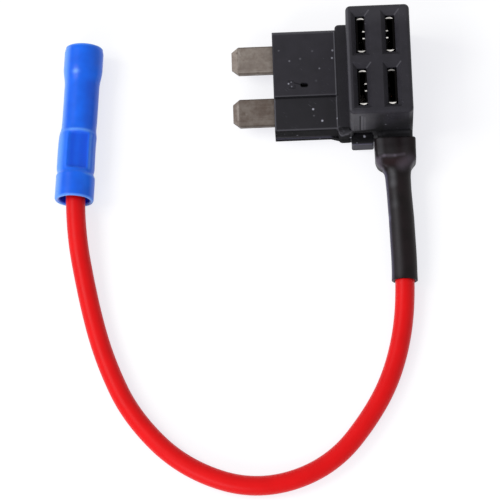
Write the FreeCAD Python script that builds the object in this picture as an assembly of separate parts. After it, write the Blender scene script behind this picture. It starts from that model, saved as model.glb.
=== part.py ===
import FreeCAD, Part
import math
import os

# Right-angle add-a-circuit fuse tap for regular blade fuses, with its lead and butt splice.
# Frame, in millimetres: X = 0 is the stop shoulder, the blades point to -X and the head is at +X.
# Y = 0 lies midway across the blade block. Z = 0 is the flat back and the fuse slots face +Z.

V = FreeCAD.Vector

# Blades, regular blade fuse pattern
blade_pitch = 9.65
blade_shift_y = -0.2
blade_width = 5.0
blade_thick = 0.8
blade_reach = 7.1
blade_under = 2.83
tip_corner_x = 1.2
tip_corner_y = 0.9
coin_length = 1.0
coin_depth = 0.22

# Moulded shell: blade block, stop flange and head
body_length = 10.85
body_side = 1.78
body_top = 5.4
flange_length = 1.9
flange_step = 0.75
flange_top = 5.75
head_length = 10.85
head_step = 0.7
head_top = 14.45
face_thick = 1.0
side_wall = 1.1
cover_thick = 1.4
joint_groove = 0.18
fit = 0.05
room = 0.25

# Rounded edges of the moulding
body_edge = 0.5
body_end_edge = 0.25
flange_corner = 0.7
flange_rim = 0.3
head_corner = 0.85
head_rim = 0.6
blend_radius = 0.3

# Lower step on the blade block's front, and the gate mark beside it
step_edge_y = -2.95
step_depth = 0.35
gate_x = -5.55
gate_y = -0.95
gate_length = 1.35
gate_radius = 0.4
gate_depth = 1.4

# Fuse slots
slot_first_x = 4.3
slot_step_x = 5.1
slot_draw = 0.15
slot_shift_y = -0.1
slot_gap = 1.6
slot_width = 6.65
slot_lead = 0.75

# Rolled receptacles
sheet = 0.35
roll_width = 6.25
roll_radius = 0.85
lip_gap = 1.05
lip_dip = 8.0
neck_width = 4.4
roll_start = 6.6
mouth_depth = 1.1
lip_relief = 1.6
web_bend = 0.3
fuse_blade = 0.8

# Rivets
rivet_radius = 0.9
rivet_head = 1.25
rivet_rise = 0.5
load_rivet_x = 1.3
load_foot_end = -0.6

# Lead outlet: hollow boss on the head's side
outlet_x = 9.675
outlet_z = 3.1
boss_width = 5.95
boss_height = 4.6
boss_reach = 4.4
boss_wall = 0.5
boss_corner = 0.7

# Ledge on the cover beside the outlet
ledge_x = 2.2
ledge_width = 3.8
ledge_reach = 1.45
ledge_height = 3.0
ledge_round = 0.35

# Window in the shell's wall above the ledge, where the cover's latch shows
window_low = 3.05
window_high = 4.75
window_inset = 0.35

# Sloped ends of the cover's flange
flare_run = 1.3

# Lead
wire_diameter = 3.3
strand_diameter = 1.7
terminal_wall = 0.45
terminal_length = 3.1
strip_gap = 0.3
wire_inside = 2.1

# Heat-shrink sleeve
shrink_wall = 0.5
shrink_start = 1.4
shrink_cap = 0.3
shrink_taper = 3.2
shrink_end_y = -36.0

# Butt splice, measured along its own axis from the mouth where the lead goes in
splice_mouth = V(-45.53, -19.65, 0)
splice_turn = -4.47
splice_length = 27.6
flare_radius = 3.3
waist_radius = 2.95
crimp_radius = 3.15
far_flare_radius = 3.35
far_mouth_radius = 3.18
flare_length = 4.4
crimp_start = 5.1
crimp_end = 12.3
crimp_step = 0.25
far_flare_start = 22.0
far_flare_end = 24.8
funnel_radius = 2.6
flat_height = 2.58
barrel_radius = 2.05
barrel_start = 5.9
barrel_end = 21.7
stop_start = 13.4
stop_thick = 1.0
stop_gap = 0.4
socket_radius = 1.2
neck_length = 0.75
funnel_run = 2.2
die_round = 0.5

# Sizes that follow from the ones above
body_width = blade_pitch + blade_width + 2 * body_side
slot_pitch_y = blade_pitch - slot_draw
wire_radius = wire_diameter / 2
lying_z = wire_radius + 0.01
strand_radius = strand_diameter / 2
strip_top = blade_under + blade_thick
head_start = flange_length
head_end = flange_length + head_length
head_side = body_width / 2 + head_step
flange_side = body_width / 2 + flange_step
upper_blade_y = blade_shift_y + blade_pitch / 2
lower_blade_y = blade_shift_y - blade_pitch / 2
upper_slot_y = slot_shift_y + slot_pitch_y / 2
lower_slot_y = slot_shift_y - slot_pitch_y / 2
first_slot_x = slot_first_x
second_slot_x = slot_first_x + slot_step_x
base_back = sheet + fuse_blade / 2
roll_front = 2 * roll_radius - base_back
pocket_top = head_top - face_thick
mouth_z = head_top - mouth_depth
splice_axis_z = far_flare_radius
wire_stop = barrel_start - strip_gap
boss_end_y = -head_side - boss_reach
wire_start_y = -head_side + side_wall + wire_inside
terminal_start_y = wire_start_y + strip_gap
terminal_end_y = terminal_start_y + terminal_length
twin_rivet_x = first_slot_x + slot_step_x / 2
lip_slope = math.radians(lip_dip)


def on_splice(s):
    """Point on the splice's axis, s along it from the mouth."""
    turned = math.radians(splice_turn)
    along = V(-math.sin(turned), math.cos(turned), 0)
    return splice_mouth + along * s + V(0, 0, splice_axis_z)


# Route of the lead: out of the boss, down to the table, round the loop and into the splice
route = [
    V(outlet_x, wire_start_y, outlet_z),
    V(9.92, -22.2, outlet_z),
    V(10.45, -38.0, 2.1),
    V(8.7, -48.8, lying_z),
    V(4.7, -57.9, lying_z),
    V(-3.5, -67.9, lying_z),
    V(-16.0, -71.5, lying_z),
    V(-28.1, -67.0, lying_z),
    V(-36.5, -58.0, lying_z),
    V(-40.8, -48.2, lying_z),
    V(-43.4, -38.0, lying_z),
    on_splice(-3.2),
    on_splice(wire_stop),
]


def box(x0, x1, y0, y1, z0, z1):
    return Part.makeBox(x1 - x0, y1 - y0, z1 - z0, V(x0, y0, z0))


def rod(radius, start, end):
    return Part.makeCylinder(radius, (end - start).Length, start, end - start)


def near(value, target):
    return abs(value - target) < 1e-4


def edges_where(shape, test):
    """Straight edges whose two ends both pass the test."""
    picked = []
    for edge in shape.Edges:
        ends = [vertex.Point for vertex in edge.Vertexes]
        if len(ends) == 2 and all(test(end) for end in ends):
            picked.append(edge)
    return picked


def top_edges(shape, level):
    return [edge for edge in shape.Edges if near(edge.CenterOfMass.z, level)]


def is_upright(edge):
    ends = [vertex.Point for vertex in edge.Vertexes]
    return near(ends[0].x, ends[1].x) and near(ends[0].y, ends[1].y)


def upright_edges(shape, x):
    """Edges along Z at one X."""
    return [edge for edge in edges_where(shape, lambda p: near(p.x, x)) if is_upright(edge)]


def rounded_ring(y, half_x, half_z, corner):
    """Closed rounded rectangle in a plane across Y about the outlet's axis."""
    left = outlet_x - half_x
    right = outlet_x + half_x
    low = outlet_z - half_z
    high = outlet_z + half_z
    reach = corner * (1 - math.sqrt(0.5))
    edges = [
        Part.LineSegment(V(left + corner, y, low), V(right - corner, y, low)),
        Part.Arc(V(right - corner, y, low), V(right - reach, y, low + reach), V(right, y, low + corner)),
        Part.LineSegment(V(right, y, low + corner), V(right, y, high - corner)),
        Part.Arc(V(right, y, high - corner), V(right - reach, y, high - reach), V(right - corner, y, high)),
        Part.LineSegment(V(right - corner, y, high), V(left + corner, y, high)),
        Part.Arc(V(left + corner, y, high), V(left + reach, y, high - reach), V(left, y, high - corner)),
        Part.LineSegment(V(left, y, high - corner), V(left, y, low + corner)),
        Part.Arc(V(left, y, low + corner), V(left + reach, y, low + reach), V(left + corner, y, low)),
    ]
    return Part.Wire([edge.toShape() for edge in edges])


def transition(y_wide, half_x, half_z, corner, y_round, radius):
    """Solid from a rounded rectangle to a circle: flat sides, and part of a cone on each corner."""

    def wide_point(quarter, angle):
        turned = math.radians(angle)
        side_x = 1 if quarter in (0, 3) else -1
        side_z = 1 if quarter in (0, 1) else -1
        return V(outlet_x + side_x * (half_x - corner) + corner * math.cos(turned), y_wide,
                 outlet_z + side_z * (half_z - corner) + corner * math.sin(turned))

    def round_point(angle):
        turned = math.radians(angle)
        return V(outlet_x + radius * math.cos(turned), y_round, outlet_z + radius * math.sin(turned))

    faces = []
    round_edges = []
    for quarter in range(4):
        start = 90 * quarter
        end = start + 90
        middle = start + 45
        wide_arc = Part.Arc(wide_point(quarter, start), wide_point(quarter, middle), wide_point(quarter, end))
        round_arc = Part.Arc(round_point(start), round_point(middle), round_point(end))
        faces.append(Part.makeRuledSurface(wide_arc.toShape(), round_arc.toShape()))
        side = [wide_point(quarter, end), wide_point((quarter + 1) % 4, end), round_point(end)]
        faces.append(Part.Face(Part.makePolygon(side + side[:1])))
        round_edges.append(round_arc.toShape())
    faces.append(Part.Face(rounded_ring(y_wide, half_x, half_z, corner)))
    faces.append(Part.Face(Part.Wire(round_edges)))
    shell = Part.makeShell(faces)
    shell.sewShape()
    return Part.makeSolid(shell)


def slab(z0, z1, inset=0.0):
    """The tap's outline in plan, between two heights."""
    half = body_width / 2 - inset
    block = box(-body_length + inset, 0, -half, half, z0, z1)
    stop = box(inset, flange_length, -flange_side + inset, flange_side - inset, z0, z1)
    stop = stop.makeFillet(flange_corner, upright_edges(stop, inset))
    head = box(head_start, head_end - inset, -head_side + inset, head_side - inset, z0, z1)
    head = head.makeFillet(head_corner, upright_edges(head, head_end - inset))
    link = box(-inset, head_start + inset, -half, half, z0, z1)
    return block.multiFuse([stop, head, link]).removeSplitter()


def blade_block():
    """Block round the strips: rounded long edges, a lower step on the front, a clipped end."""
    half = body_width / 2
    inner = half - body_edge
    low_top = body_top - step_depth
    reach = body_edge * (1 - math.sqrt(0.5))
    x = -body_length
    low_corner = [V(x, -half, low_top - body_edge), V(x, -half + reach, low_top - reach),
                  V(x, -inner, low_top)]
    high_corner = [V(x, inner, body_top), V(x, half - reach, body_top - reach),
                   V(x, half, body_top - body_edge)]
    edges = [
        Part.LineSegment(V(x, -half, cover_thick), low_corner[0]),
        Part.Arc(low_corner[0], low_corner[1], low_corner[2]),
        Part.LineSegment(low_corner[2], V(x, step_edge_y, low_top)),
        Part.LineSegment(V(x, step_edge_y, low_top), V(x, step_edge_y, body_top)),
        Part.LineSegment(V(x, step_edge_y, body_top), high_corner[0]),
        Part.Arc(high_corner[0], high_corner[1], high_corner[2]),
        Part.LineSegment(high_corner[2], V(x, half, cover_thick)),
        Part.LineSegment(V(x, half, cover_thick), V(x, -half, cover_thick)),
    ]
    section = Part.Face(Part.Wire([edge.toShape() for edge in edges]))
    block = section.extrude(V(body_length + flange_length / 2, 0, 0))
    for y0, y1, top in ((-half - 1, step_edge_y, low_top), (step_edge_y, half + 1, body_top)):
        deep = body_end_edge + 1
        clip = [V(x - 1, y0, top + 1), V(x - 1, y0, top - deep), V(x + deep, y0, top + 1)]
        block = block.cut(Part.Face(Part.makePolygon(clip + clip[:1])).extrude(V(0, y1 - y0, 0)))
    return block


def shoulder_blend():
    """Small hollow blends where the blade block's two front levels meet the flange."""
    half = body_width / 2 - body_edge
    strips = []
    for y0, y1, top in ((-half, step_edge_y, body_top - step_depth), (step_edge_y, half, body_top)):
        level = top + blend_radius
        corner = box(-blend_radius, flange_length / 2, y0, y1, top - step_depth / 3, level)
        hollow = rod(blend_radius, V(-blend_radius, y0 - 1, level), V(-blend_radius, y1 + 1, level))
        strips.append(corner.cut(hollow))
    return strips[0].fuse(strips[1])


def flange_block():
    block = box(0, flange_length, -flange_side, flange_side, cover_thick, flange_top)
    block = block.makeFillet(flange_corner, upright_edges(block, 0))
    rim = [e for e in top_edges(block, flange_top) if e.CenterOfMass.x < flange_corner]
    return block.makeChamfer(flange_rim, rim)


def head_block():
    block = box(head_start, head_end, -head_side, head_side, cover_thick, head_top)
    block = block.makeFillet(head_corner, [e for e in block.Edges if is_upright(e)])
    block = block.makeFillet(head_rim, top_edges(block, head_top))
    root_top = flange_top - flange_rim
    root = box(head_start, head_start + head_corner, -head_side, head_side, cover_thick, root_top)
    return block.fuse(root)


def slot_cutter(x, y):
    """Straight slot with a lead-in that widens to the face."""
    half_gap = slot_gap / 2
    half_width = slot_width / 2
    throat = box(x - half_gap, x + half_gap, y - half_width, y + half_width, pocket_top - 1, head_top)
    rings = []
    for level, spread in ((head_top - slot_lead, 0.0), (head_top + 0.1, slot_lead + 0.1)):
        half_x = half_gap + spread
        half_y = half_width + spread
        corners = [V(x - half_x, y - half_y, level), V(x + half_x, y - half_y, level),
                   V(x + half_x, y + half_y, level), V(x - half_x, y + half_y, level)]
        rings.append(Part.makePolygon(corners + corners[:1]))
    return throat.fuse(Part.makeLoft(rings, True, True))


def strip_channel(y, x_end):
    half = blade_width / 2 + fit
    return box(-body_length - 1, x_end, y - half, y + half, cover_thick - 1, strip_top)


def roll_pocket(x, facing, y):
    """Pocket for one receptacle, open to the back; its lips face +X or -X."""
    back = x - facing * (base_back + room)
    front = x + facing * (roll_front + room)
    half = roll_width / 2 + room / 2
    return box(min(back, front), max(back, front), y - half, y + half, cover_thick - 1, pocket_top)


def housing():
    shell = head_block().multiFuse([blade_block(), flange_block(), shoulder_blend()])
    boss = Part.Face(rounded_ring(-head_side, boss_width / 2, boss_height / 2, boss_corner))
    shell = shell.fuse(boss.extrude(V(0, -boss_reach, 0))).removeSplitter()
    shell = shell.cut(cover_groove())
    for cutter in contact_cutters() + outlet_cutters() + [latch_window(), gate_mark()]:
        shell = shell.cut(cutter)
    return shell.removeSplitter()


def cover_groove():
    """Fine groove round the joint with the cover, left out at the boss."""
    top = cover_thick + joint_groove
    groove = slab(cover_thick, top).cut(slab(cover_thick, top, joint_groove))
    half = boss_width / 2
    return groove.cut(box(outlet_x - half, outlet_x + half, boss_end_y, -head_side, 0, boss_height))


def contact_cutters():
    """Channels, pockets and slots for the strips, contacts and fuses."""
    low = cover_thick - 1
    web_half = neck_width / 2 + room
    rivet_top = strip_top + sheet + rivet_rise + room
    foot_top = strip_top + sheet + fit
    twin_back = first_slot_x - base_back - room
    twin_front = second_slot_x + base_back + room
    foot_low = lower_slot_y - web_half
    foot_high = lower_slot_y + web_half
    load_rivet_at = V(load_rivet_x, lower_blade_y, strip_top)
    cutters = [
        strip_channel(upper_blade_y, twin_front),
        strip_channel(lower_blade_y, first_slot_x + roll_front + room),
        box(twin_back, twin_front, upper_slot_y - web_half, upper_slot_y + web_half, low, rivet_top),
        box(load_foot_end - room, first_slot_x, foot_low, foot_high, strip_top, foot_top),
        rod(rivet_head + room, load_rivet_at, load_rivet_at + V(0, 0, rivet_top - strip_top)),
    ]
    for y in (upper_slot_y, lower_slot_y):
        cutters.append(roll_pocket(first_slot_x, 1, y))
        cutters.append(roll_pocket(second_slot_x, -1, y))
        cutters.append(slot_cutter(first_slot_x, y))
        cutters.append(slot_cutter(second_slot_x, y))
    return cutters


def outlet_cutters():
    """Pocket for the terminal's barrel, and the bore through the boss."""
    wall_y = -head_side + side_wall
    barrel_half = max(strand_radius + terminal_wall, wire_radius) + room
    pocket = box(outlet_x - barrel_half, outlet_x + barrel_half, wall_y, terminal_end_y + strip_gap + room,
                 cover_thick - 1, outlet_z + barrel_half + room)
    half_x = boss_width / 2 - boss_wall
    half_z = boss_height / 2 - boss_wall
    bore = Part.Face(rounded_ring(wall_y + room, half_x, half_z, boss_corner))
    return [pocket, bore.extrude(V(0, boss_end_y - wall_y - 1, 0))]


def latch_window():
    """Opening through the side wall into the lower left contact's pocket."""
    start = ledge_x + window_inset
    end = ledge_x + ledge_width - window_inset
    return box(start, end, -head_side - 1, lower_slot_y - roll_width / 2, window_low, window_high)


def gate_mark():
    """Long pit with round ends, where the moulding's gate was."""
    low = body_top - gate_depth
    high = body_top + 1
    start = gate_x - gate_length / 2 + gate_radius
    end = gate_x + gate_length / 2 - gate_radius
    ends = [rod(gate_radius, V(x, gate_y, low), V(x, gate_y, high)) for x in (start, end)]
    middle = box(start, end, gate_y - gate_radius, gate_y + gate_radius, low, high)
    return middle.multiFuse(ends).removeSplitter()


def rear_cover():
    """Back plate with ribs that hold the strips against the shell, and the ledge beside the outlet."""
    plate = slab(0, cover_thick)
    half = blade_width / 2 - fit
    feed_end = second_slot_x + base_back
    load_end = first_slot_x + roll_front
    ribs = [
        box(-body_length, feed_end, upper_blade_y - half, upper_blade_y + half, cover_thick, blade_under),
        box(-body_length, load_end, lower_blade_y - half, lower_blade_y + half, cover_thick, blade_under),
        ledge(),
        flange_slope(1),
        flange_slope(-1),
    ]
    cover = plate.multiFuse(ribs)
    for x, y in ((twin_rivet_x, upper_slot_y), (load_rivet_x, lower_blade_y)):
        low = blade_under - rivet_rise - room
        cover = cover.cut(rod(rivet_head + room, V(x, y, low), V(x, y, blade_under + 1)))
    return cover.removeSplitter()


def flange_slope(side):
    """Slope from the blade block's side out to the flange, on the cover only."""
    inner_y = side * body_width / 2
    outer_y = side * (flange_side - joint_groove)
    plan = [V(-flare_run, inner_y, 0), V(flange_corner, outer_y, 0), V(flange_corner, inner_y, 0)]
    return Part.Face(Part.makePolygon(plan + plan[:1])).extrude(V(0, 0, cover_thick - joint_groove))


def ledge():
    block = box(ledge_x, ledge_x + ledge_width, -head_side - ledge_reach, -head_side, 0, ledge_height)
    front = -head_side - ledge_reach
    outer = [e for e in edges_where(block, lambda p: near(p.y, front)) if e.CenterOfMass.z > 0.1]
    return block.makeFillet(ledge_round, outer)


def blade(y, x_end):
    """One blade and its strip: coined tip in side view, clipped corners in plan."""
    tip = -body_length - blade_reach
    low = blade_under
    half = blade_width / 2
    coin_x = tip + coin_length
    clip_x = tip + tip_corner_x
    clip_y = half - tip_corner_y
    side = [V(tip, 0, low + coin_depth), V(coin_x, 0, low), V(x_end, 0, low),
            V(x_end, 0, strip_top), V(coin_x, 0, strip_top), V(tip, 0, strip_top - coin_depth)]
    plan = [V(tip, clip_y, 0), V(clip_x, half, 0), V(x_end, half, 0),
            V(x_end, -half, 0), V(clip_x, -half, 0), V(tip, -clip_y, 0)]
    body = Part.Face(Part.makePolygon(side + side[:1])).extrude(V(0, blade_width, 0))
    body.translate(V(0, y - half, 0))
    outline = Part.Face(Part.makePolygon(plan + plan[:1])).extrude(V(0, 0, strip_top + 1))
    outline.translate(V(0, y, 0))
    return body.common(outline)


def feed_blade():
    strip = blade(upper_blade_y, second_slot_x + base_back)
    return strip.cut(rivet_shank(twin_rivet_x, upper_slot_y))


def load_blade():
    strip = blade(lower_blade_y, first_slot_x + roll_front)
    return strip.cut(rivet_shank(load_rivet_x, lower_blade_y))


def rivet_shank(x, y):
    return rod(rivet_radius, V(x, y, blade_under), V(x, y, strip_top + sheet))


def rivet(x, y):
    """Shank with a flat head on each side, as one turned profile."""
    top = strip_top + sheet
    bottom = blade_under - rivet_rise
    profile = [(0, bottom), (rivet_head, bottom), (rivet_head, blade_under), (rivet_radius, blade_under),
               (rivet_radius, top), (rivet_head, top), (rivet_head, top + rivet_rise), (0, top + rivet_rise)]
    corners = [V(x + out, y, z) for out, z in profile]
    return Part.Face(Part.makePolygon(corners + corners[:1])).revolve(V(x, y, 0), V(0, 0, 1), 360)


def rolled_section(x, facing, y, z):
    """Flat base with both sides rolled over into lips that lean in on the fuse's blade."""
    base_x = x - facing * base_back
    roll_y = roll_width / 2 - roll_radius
    inner = roll_radius - sheet

    def at(across, out):
        return V(base_x + facing * out, y + across, z)

    def roll_point(side, radius, angle):
        turned = math.radians(angle)
        return at(side * (roll_y + radius * math.cos(turned)), roll_radius + radius * math.sin(turned))

    def lip_point(side, radius):
        start_across = roll_y - radius * math.sin(lip_slope)
        start_out = roll_radius + radius * math.cos(lip_slope)
        run = start_across - lip_gap / 2
        return at(side * lip_gap / 2, start_out - run * math.tan(lip_slope))

    lip_angle = 90 + lip_dip
    edges = [Part.LineSegment(at(-roll_y, 0), at(roll_y, 0))]
    edges += half_roll(roll_point, lip_point, 1, inner, lip_angle)
    edges.append(Part.LineSegment(at(roll_y, sheet), at(-roll_y, sheet)))
    edges += half_roll(roll_point, lip_point, -1, inner, lip_angle)
    return Part.Face(Part.Wire(Part.__sortEdges__([edge.toShape() for edge in edges])))


def half_roll(roll_point, lip_point, side, inner, lip_angle):
    """Outer arc, lip and inner arc of one rolled side."""
    outer_arc = Part.Arc(roll_point(side, roll_radius, -90), roll_point(side, roll_radius, 0),
                         roll_point(side, roll_radius, lip_angle))
    inner_arc = Part.Arc(roll_point(side, inner, -90), roll_point(side, inner, 0),
                         roll_point(side, inner, lip_angle))
    outer_lip = lip_point(side, roll_radius)
    inner_lip = lip_point(side, inner)
    return [
        outer_arc,
        Part.LineSegment(roll_point(side, roll_radius, lip_angle), outer_lip),
        Part.LineSegment(outer_lip, inner_lip),
        Part.LineSegment(inner_lip, roll_point(side, inner, lip_angle)),
        inner_arc,
    ]


def receptacle(x, facing, y, top):
    """Rolled tube from the neck up to its mouth."""
    return rolled_section(x, facing, y, roll_start).extrude(V(0, 0, top - roll_start))


def twin_contact():
    """U-shaped stamping: a web on the strip and two walls that end in rolled receptacles."""
    left = first_slot_x - base_back
    right = second_slot_x + base_back
    low = upper_slot_y - neck_width / 2
    high = upper_slot_y + neck_width / 2
    outer = box(left, right, low, high, strip_top, mouth_z)
    outer = outer.makeFillet(web_bend + sheet, bend_edges(outer, strip_top))
    inner = box(left + sheet, right - sheet, low - 1, high + 1, strip_top + sheet, mouth_z + 1)
    inner = inner.makeFillet(web_bend, bend_edges(inner, strip_top + sheet))
    frame = outer.cut(inner).cut(rivet_shank(twin_rivet_x, upper_slot_y))
    first = receptacle(first_slot_x, 1, upper_slot_y, mouth_z)
    second = receptacle(second_slot_x, -1, upper_slot_y, mouth_z)
    return frame.multiFuse([first, second]).removeSplitter()


def bend_edges(shape, level):
    """Edges along Y at one height, where the sheet is bent."""
    along = edges_where(shape, lambda p: near(p.z, level))
    return [edge for edge in along if near(edge.Vertexes[0].X, edge.Vertexes[1].X)]


def load_contact():
    """L-shaped stamping: a foot on the strip and one wall that ends in a rolled receptacle."""
    back = first_slot_x - base_back
    low = lower_slot_y - neck_width / 2
    high = lower_slot_y + neck_width / 2
    outer = box(load_foot_end, back + sheet, low, high, strip_top, mouth_z)
    heel = [edge for edge in bend_edges(outer, strip_top) if near(edge.CenterOfMass.x, back + sheet)]
    outer = outer.makeFillet(web_bend + sheet, heel)
    inner = box(load_foot_end - 1, back, low - 1, high + 1, strip_top + sheet, mouth_z + 1)
    bend = [edge for edge in bend_edges(inner, strip_top + sheet) if near(edge.CenterOfMass.x, back)]
    inner = inner.makeFillet(web_bend, bend)
    frame = outer.cut(inner).cut(rivet_shank(load_rivet_x, lower_blade_y))
    return frame.fuse(receptacle(first_slot_x, 1, lower_slot_y, mouth_z)).removeSplitter()


def wire_terminal():
    """Flag terminal: rolled receptacle, a neck, and a closed barrel across it for the lead's strands."""
    base_x = second_slot_x + base_back
    barrel_outer = strand_radius + terminal_wall
    barrel_mouth = V(outlet_x, terminal_start_y, outlet_z)
    barrel_end_at = V(outlet_x, terminal_end_y, outlet_z)
    barrel = rod(barrel_outer, barrel_mouth, barrel_end_at)
    neck_low = outlet_z + strand_radius + terminal_wall / 2
    neck = box(base_x - sheet, base_x, terminal_start_y, terminal_end_y, neck_low, roll_start + roll_radius)
    shape = barrel.multiFuse([neck, receptacle(second_slot_x, -1, lower_slot_y, mouth_z)])
    lips_x = base_x - roll_radius
    relief_half = roll_width / 2 - roll_radius
    shape = shape.cut(box(lips_x - 2 * roll_radius, lips_x, lower_slot_y - relief_half,
                          lower_slot_y + relief_half, mouth_z - lip_relief, mouth_z + 1))
    bore = rod(strand_radius, barrel_mouth - V(0, 1, 0), barrel_end_at + V(0, 1, 0))
    return shape.cut(bore).removeSplitter()


def terminal_strands():
    cut_end = V(outlet_x, terminal_end_y + strip_gap, outlet_z)
    return rod(strand_radius, V(outlet_x, wire_start_y, outlet_z), cut_end)


def route_edges(points):
    """Straight runs joined by tangent arcs, each as large as its two runs allow."""
    edges = []
    radii = []
    here = points[0]
    for before, corner, after in zip(points[:-2], points[1:-1], points[2:]):
        back = before - corner
        ahead = after - corner
        reach = 0.45 * min(back.Length, ahead.Length)
        turn = math.pi - back.getAngle(ahead)
        radius = reach / math.tan(turn / 2)
        back.normalize()
        ahead.normalize()
        inward = back + ahead
        inward.normalize()
        start = corner + back * reach
        end = corner + ahead * reach
        middle = corner + inward * (math.hypot(radius, reach) - radius)
        edges.append(Part.LineSegment(here, start).toShape())
        edges.append(Part.Arc(start, middle, end).toShape())
        radii.append(radius)
        here = end
    edges.append(Part.LineSegment(here, points[-1]).toShape())
    return edges, radii


def tube_along_route(radius):
    edges, radii = route_edges(route)
    ring = Part.Wire([Part.makeCircle(radius, route[0], route[1] - route[0])])
    return Part.Wire(edges).makePipeShell([ring], True, False)


def wire():
    edges, radii = route_edges(route)
    length = Part.Wire(edges).Length
    tube = tube_along_route(wire_radius)
    expected = math.pi * wire_radius ** 2 * length
    print("lead: length %.1f mm, volume %.1f, section times length %.1f" % (length, tube.Volume, expected))
    print("lead: radii " + ", ".join("%.0f" % radius for radius in radii))
    return tube


def heat_shrink():
    """Sleeve that grips the boss, tapers off its end and lies tight on the lead."""
    start_y = -head_side - shrink_start
    cap_y = boss_end_y - shrink_cap
    round_y = cap_y - shrink_taper
    half_x = boss_width / 2
    half_z = boss_height / 2
    wide_x = half_x + shrink_wall
    wide_z = half_z + shrink_wall
    wide_corner = boss_corner + shrink_wall
    grip = Part.Face(rounded_ring(start_y, wide_x, wide_z, wide_corner)).extrude(V(0, cap_y - start_y, 0))
    taper = transition(cap_y, wide_x, wide_z, wide_corner, round_y, wire_radius + shrink_wall / 2)
    hollow = transition(boss_end_y, half_x, half_z, boss_corner, round_y, wire_radius - shrink_wall / 2)
    seat = Part.Face(rounded_ring(start_y + 1, half_x, half_z, boss_corner))
    seat = seat.extrude(V(0, boss_end_y - start_y - 1, 0))
    tail_zone = box(outlet_x - boss_width, outlet_x + boss_width, shrink_end_y, boss_end_y - shrink_wall,
                    0, outlet_z + boss_width)
    tail = tube_along_route(wire_radius + shrink_wall).common(tail_zone)
    core = tube_along_route(wire_radius)
    return grip.multiFuse([taper, tail]).cut(hollow).cut(seat).cut(core).removeSplitter()


def along_splice(shape):
    """Carry a shape made along +Z from the origin onto the splice's axis."""
    shape.rotate(V(0, 0, 0), V(1, 0, 0), -90)
    shape.rotate(V(0, 0, 0), V(0, 0, 1), splice_turn)
    shape.translate(V(splice_mouth.x, splice_mouth.y, splice_axis_z))
    return shape


def splice_sleeve():
    """Moulded sleeve with a flared mouth at each end, pressed flat where the lead is crimped."""
    neck_end = barrel_start - fit
    outer = [V(flare_radius, 0, 0), V(flare_radius, 0, flare_length), V(crimp_radius, 0, crimp_start),
             V(crimp_radius, 0, crimp_end), V(waist_radius, 0, crimp_end + crimp_step),
             V(waist_radius, 0, far_flare_start), V(far_flare_radius, 0, far_flare_end),
             V(far_mouth_radius, 0, splice_length)]
    inner = [V(funnel_radius, 0, splice_length), V(funnel_radius, 0, far_flare_end),
             V(barrel_radius, 0, barrel_end), V(barrel_radius, 0, barrel_start),
             V(wire_radius + fit, 0, neck_end), V(wire_radius + fit, 0, neck_end - neck_length),
             V(funnel_radius, 0, neck_end - neck_length - funnel_run), V(funnel_radius, 0, 0)]
    ring = outer + inner
    sleeve = Part.Face(Part.makePolygon(ring + ring[:1])).revolve(V(0, 0, 0), V(0, 0, 1), 360)
    wide = 2 * crimp_radius
    die = box(-wide, wide, flat_height, wide, crimp_start, crimp_end - crimp_step)
    die = die.makeFillet(die_round, edges_where(die, lambda p: near(p.y, flat_height)))
    opposite = die.copy()
    opposite.rotate(V(0, 0, 0), V(0, 0, 1), 180)
    return along_splice(sleeve.cut(die).cut(opposite))


def splice_barrel():
    """Tube with a stop in the middle, closed down on the lead's strands in its near half."""
    tube = rod(barrel_radius, V(0, 0, barrel_start), V(0, 0, barrel_end))
    near_bore = rod(strand_radius, V(0, 0, barrel_start - 1), V(0, 0, stop_start))
    far_bore = rod(socket_radius, V(0, 0, stop_start + stop_thick), V(0, 0, barrel_end + 1))
    return along_splice(tube.cut(near_bore).cut(far_bore))


def splice_strands():
    return along_splice(rod(strand_radius, V(0, 0, wire_stop), V(0, 0, stop_start - stop_gap)))


def main():
    os.makedirs("parts", exist_ok=True)
    pieces = {
        "housing": housing(),
        "rear_cover": rear_cover(),
        "feed_blade": feed_blade(),
        "load_blade": load_blade(),
        "twin_contact": twin_contact(),
        "load_contact": load_contact(),
        "wire_terminal": wire_terminal(),
        "feed_rivet": rivet(twin_rivet_x, upper_slot_y),
        "load_rivet": rivet(load_rivet_x, lower_blade_y),
        "terminal_strands": terminal_strands(),
        "wire": wire(),
        "heat_shrink": heat_shrink(),
        "splice_sleeve": splice_sleeve(),
        "splice_barrel": splice_barrel(),
        "splice_strands": splice_strands(),
    }
    for name, shape in pieces.items():
        shape.exportStep("parts/" + name + ".step")
        count = len(shape.Solids)
        print("%-17s valid %s solids %d volume %8.1f" % (name, shape.isValid(), count, shape.Volume))


main()
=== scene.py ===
import math
import bmesh
import bpy
from mathutils import Matrix, Vector


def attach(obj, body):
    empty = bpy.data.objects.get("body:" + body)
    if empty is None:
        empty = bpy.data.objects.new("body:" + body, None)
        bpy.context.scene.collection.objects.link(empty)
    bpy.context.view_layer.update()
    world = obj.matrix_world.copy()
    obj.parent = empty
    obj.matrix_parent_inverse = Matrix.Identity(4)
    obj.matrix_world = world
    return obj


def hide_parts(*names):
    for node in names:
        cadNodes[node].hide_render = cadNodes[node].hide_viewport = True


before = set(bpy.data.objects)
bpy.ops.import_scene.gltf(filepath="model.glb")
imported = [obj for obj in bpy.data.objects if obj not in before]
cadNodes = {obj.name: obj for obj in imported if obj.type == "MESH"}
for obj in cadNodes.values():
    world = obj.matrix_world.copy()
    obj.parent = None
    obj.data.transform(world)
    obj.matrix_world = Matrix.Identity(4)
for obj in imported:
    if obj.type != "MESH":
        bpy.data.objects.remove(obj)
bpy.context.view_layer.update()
scene = bpy.context.scene
print("frame loaded:", len(cadNodes), "nodes")


# small helpers
def paint(red, green, blue):
    # a colour given as it looks on screen, 0 to 255, turned into what a shader socket takes
    def channel(value):
        share = value / 255
        return share / 12.92 if share <= 0.04045 else ((share + 0.055) / 1.055) ** 2.4
    return (channel(red), channel(green), channel(blue), 1.0)


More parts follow.
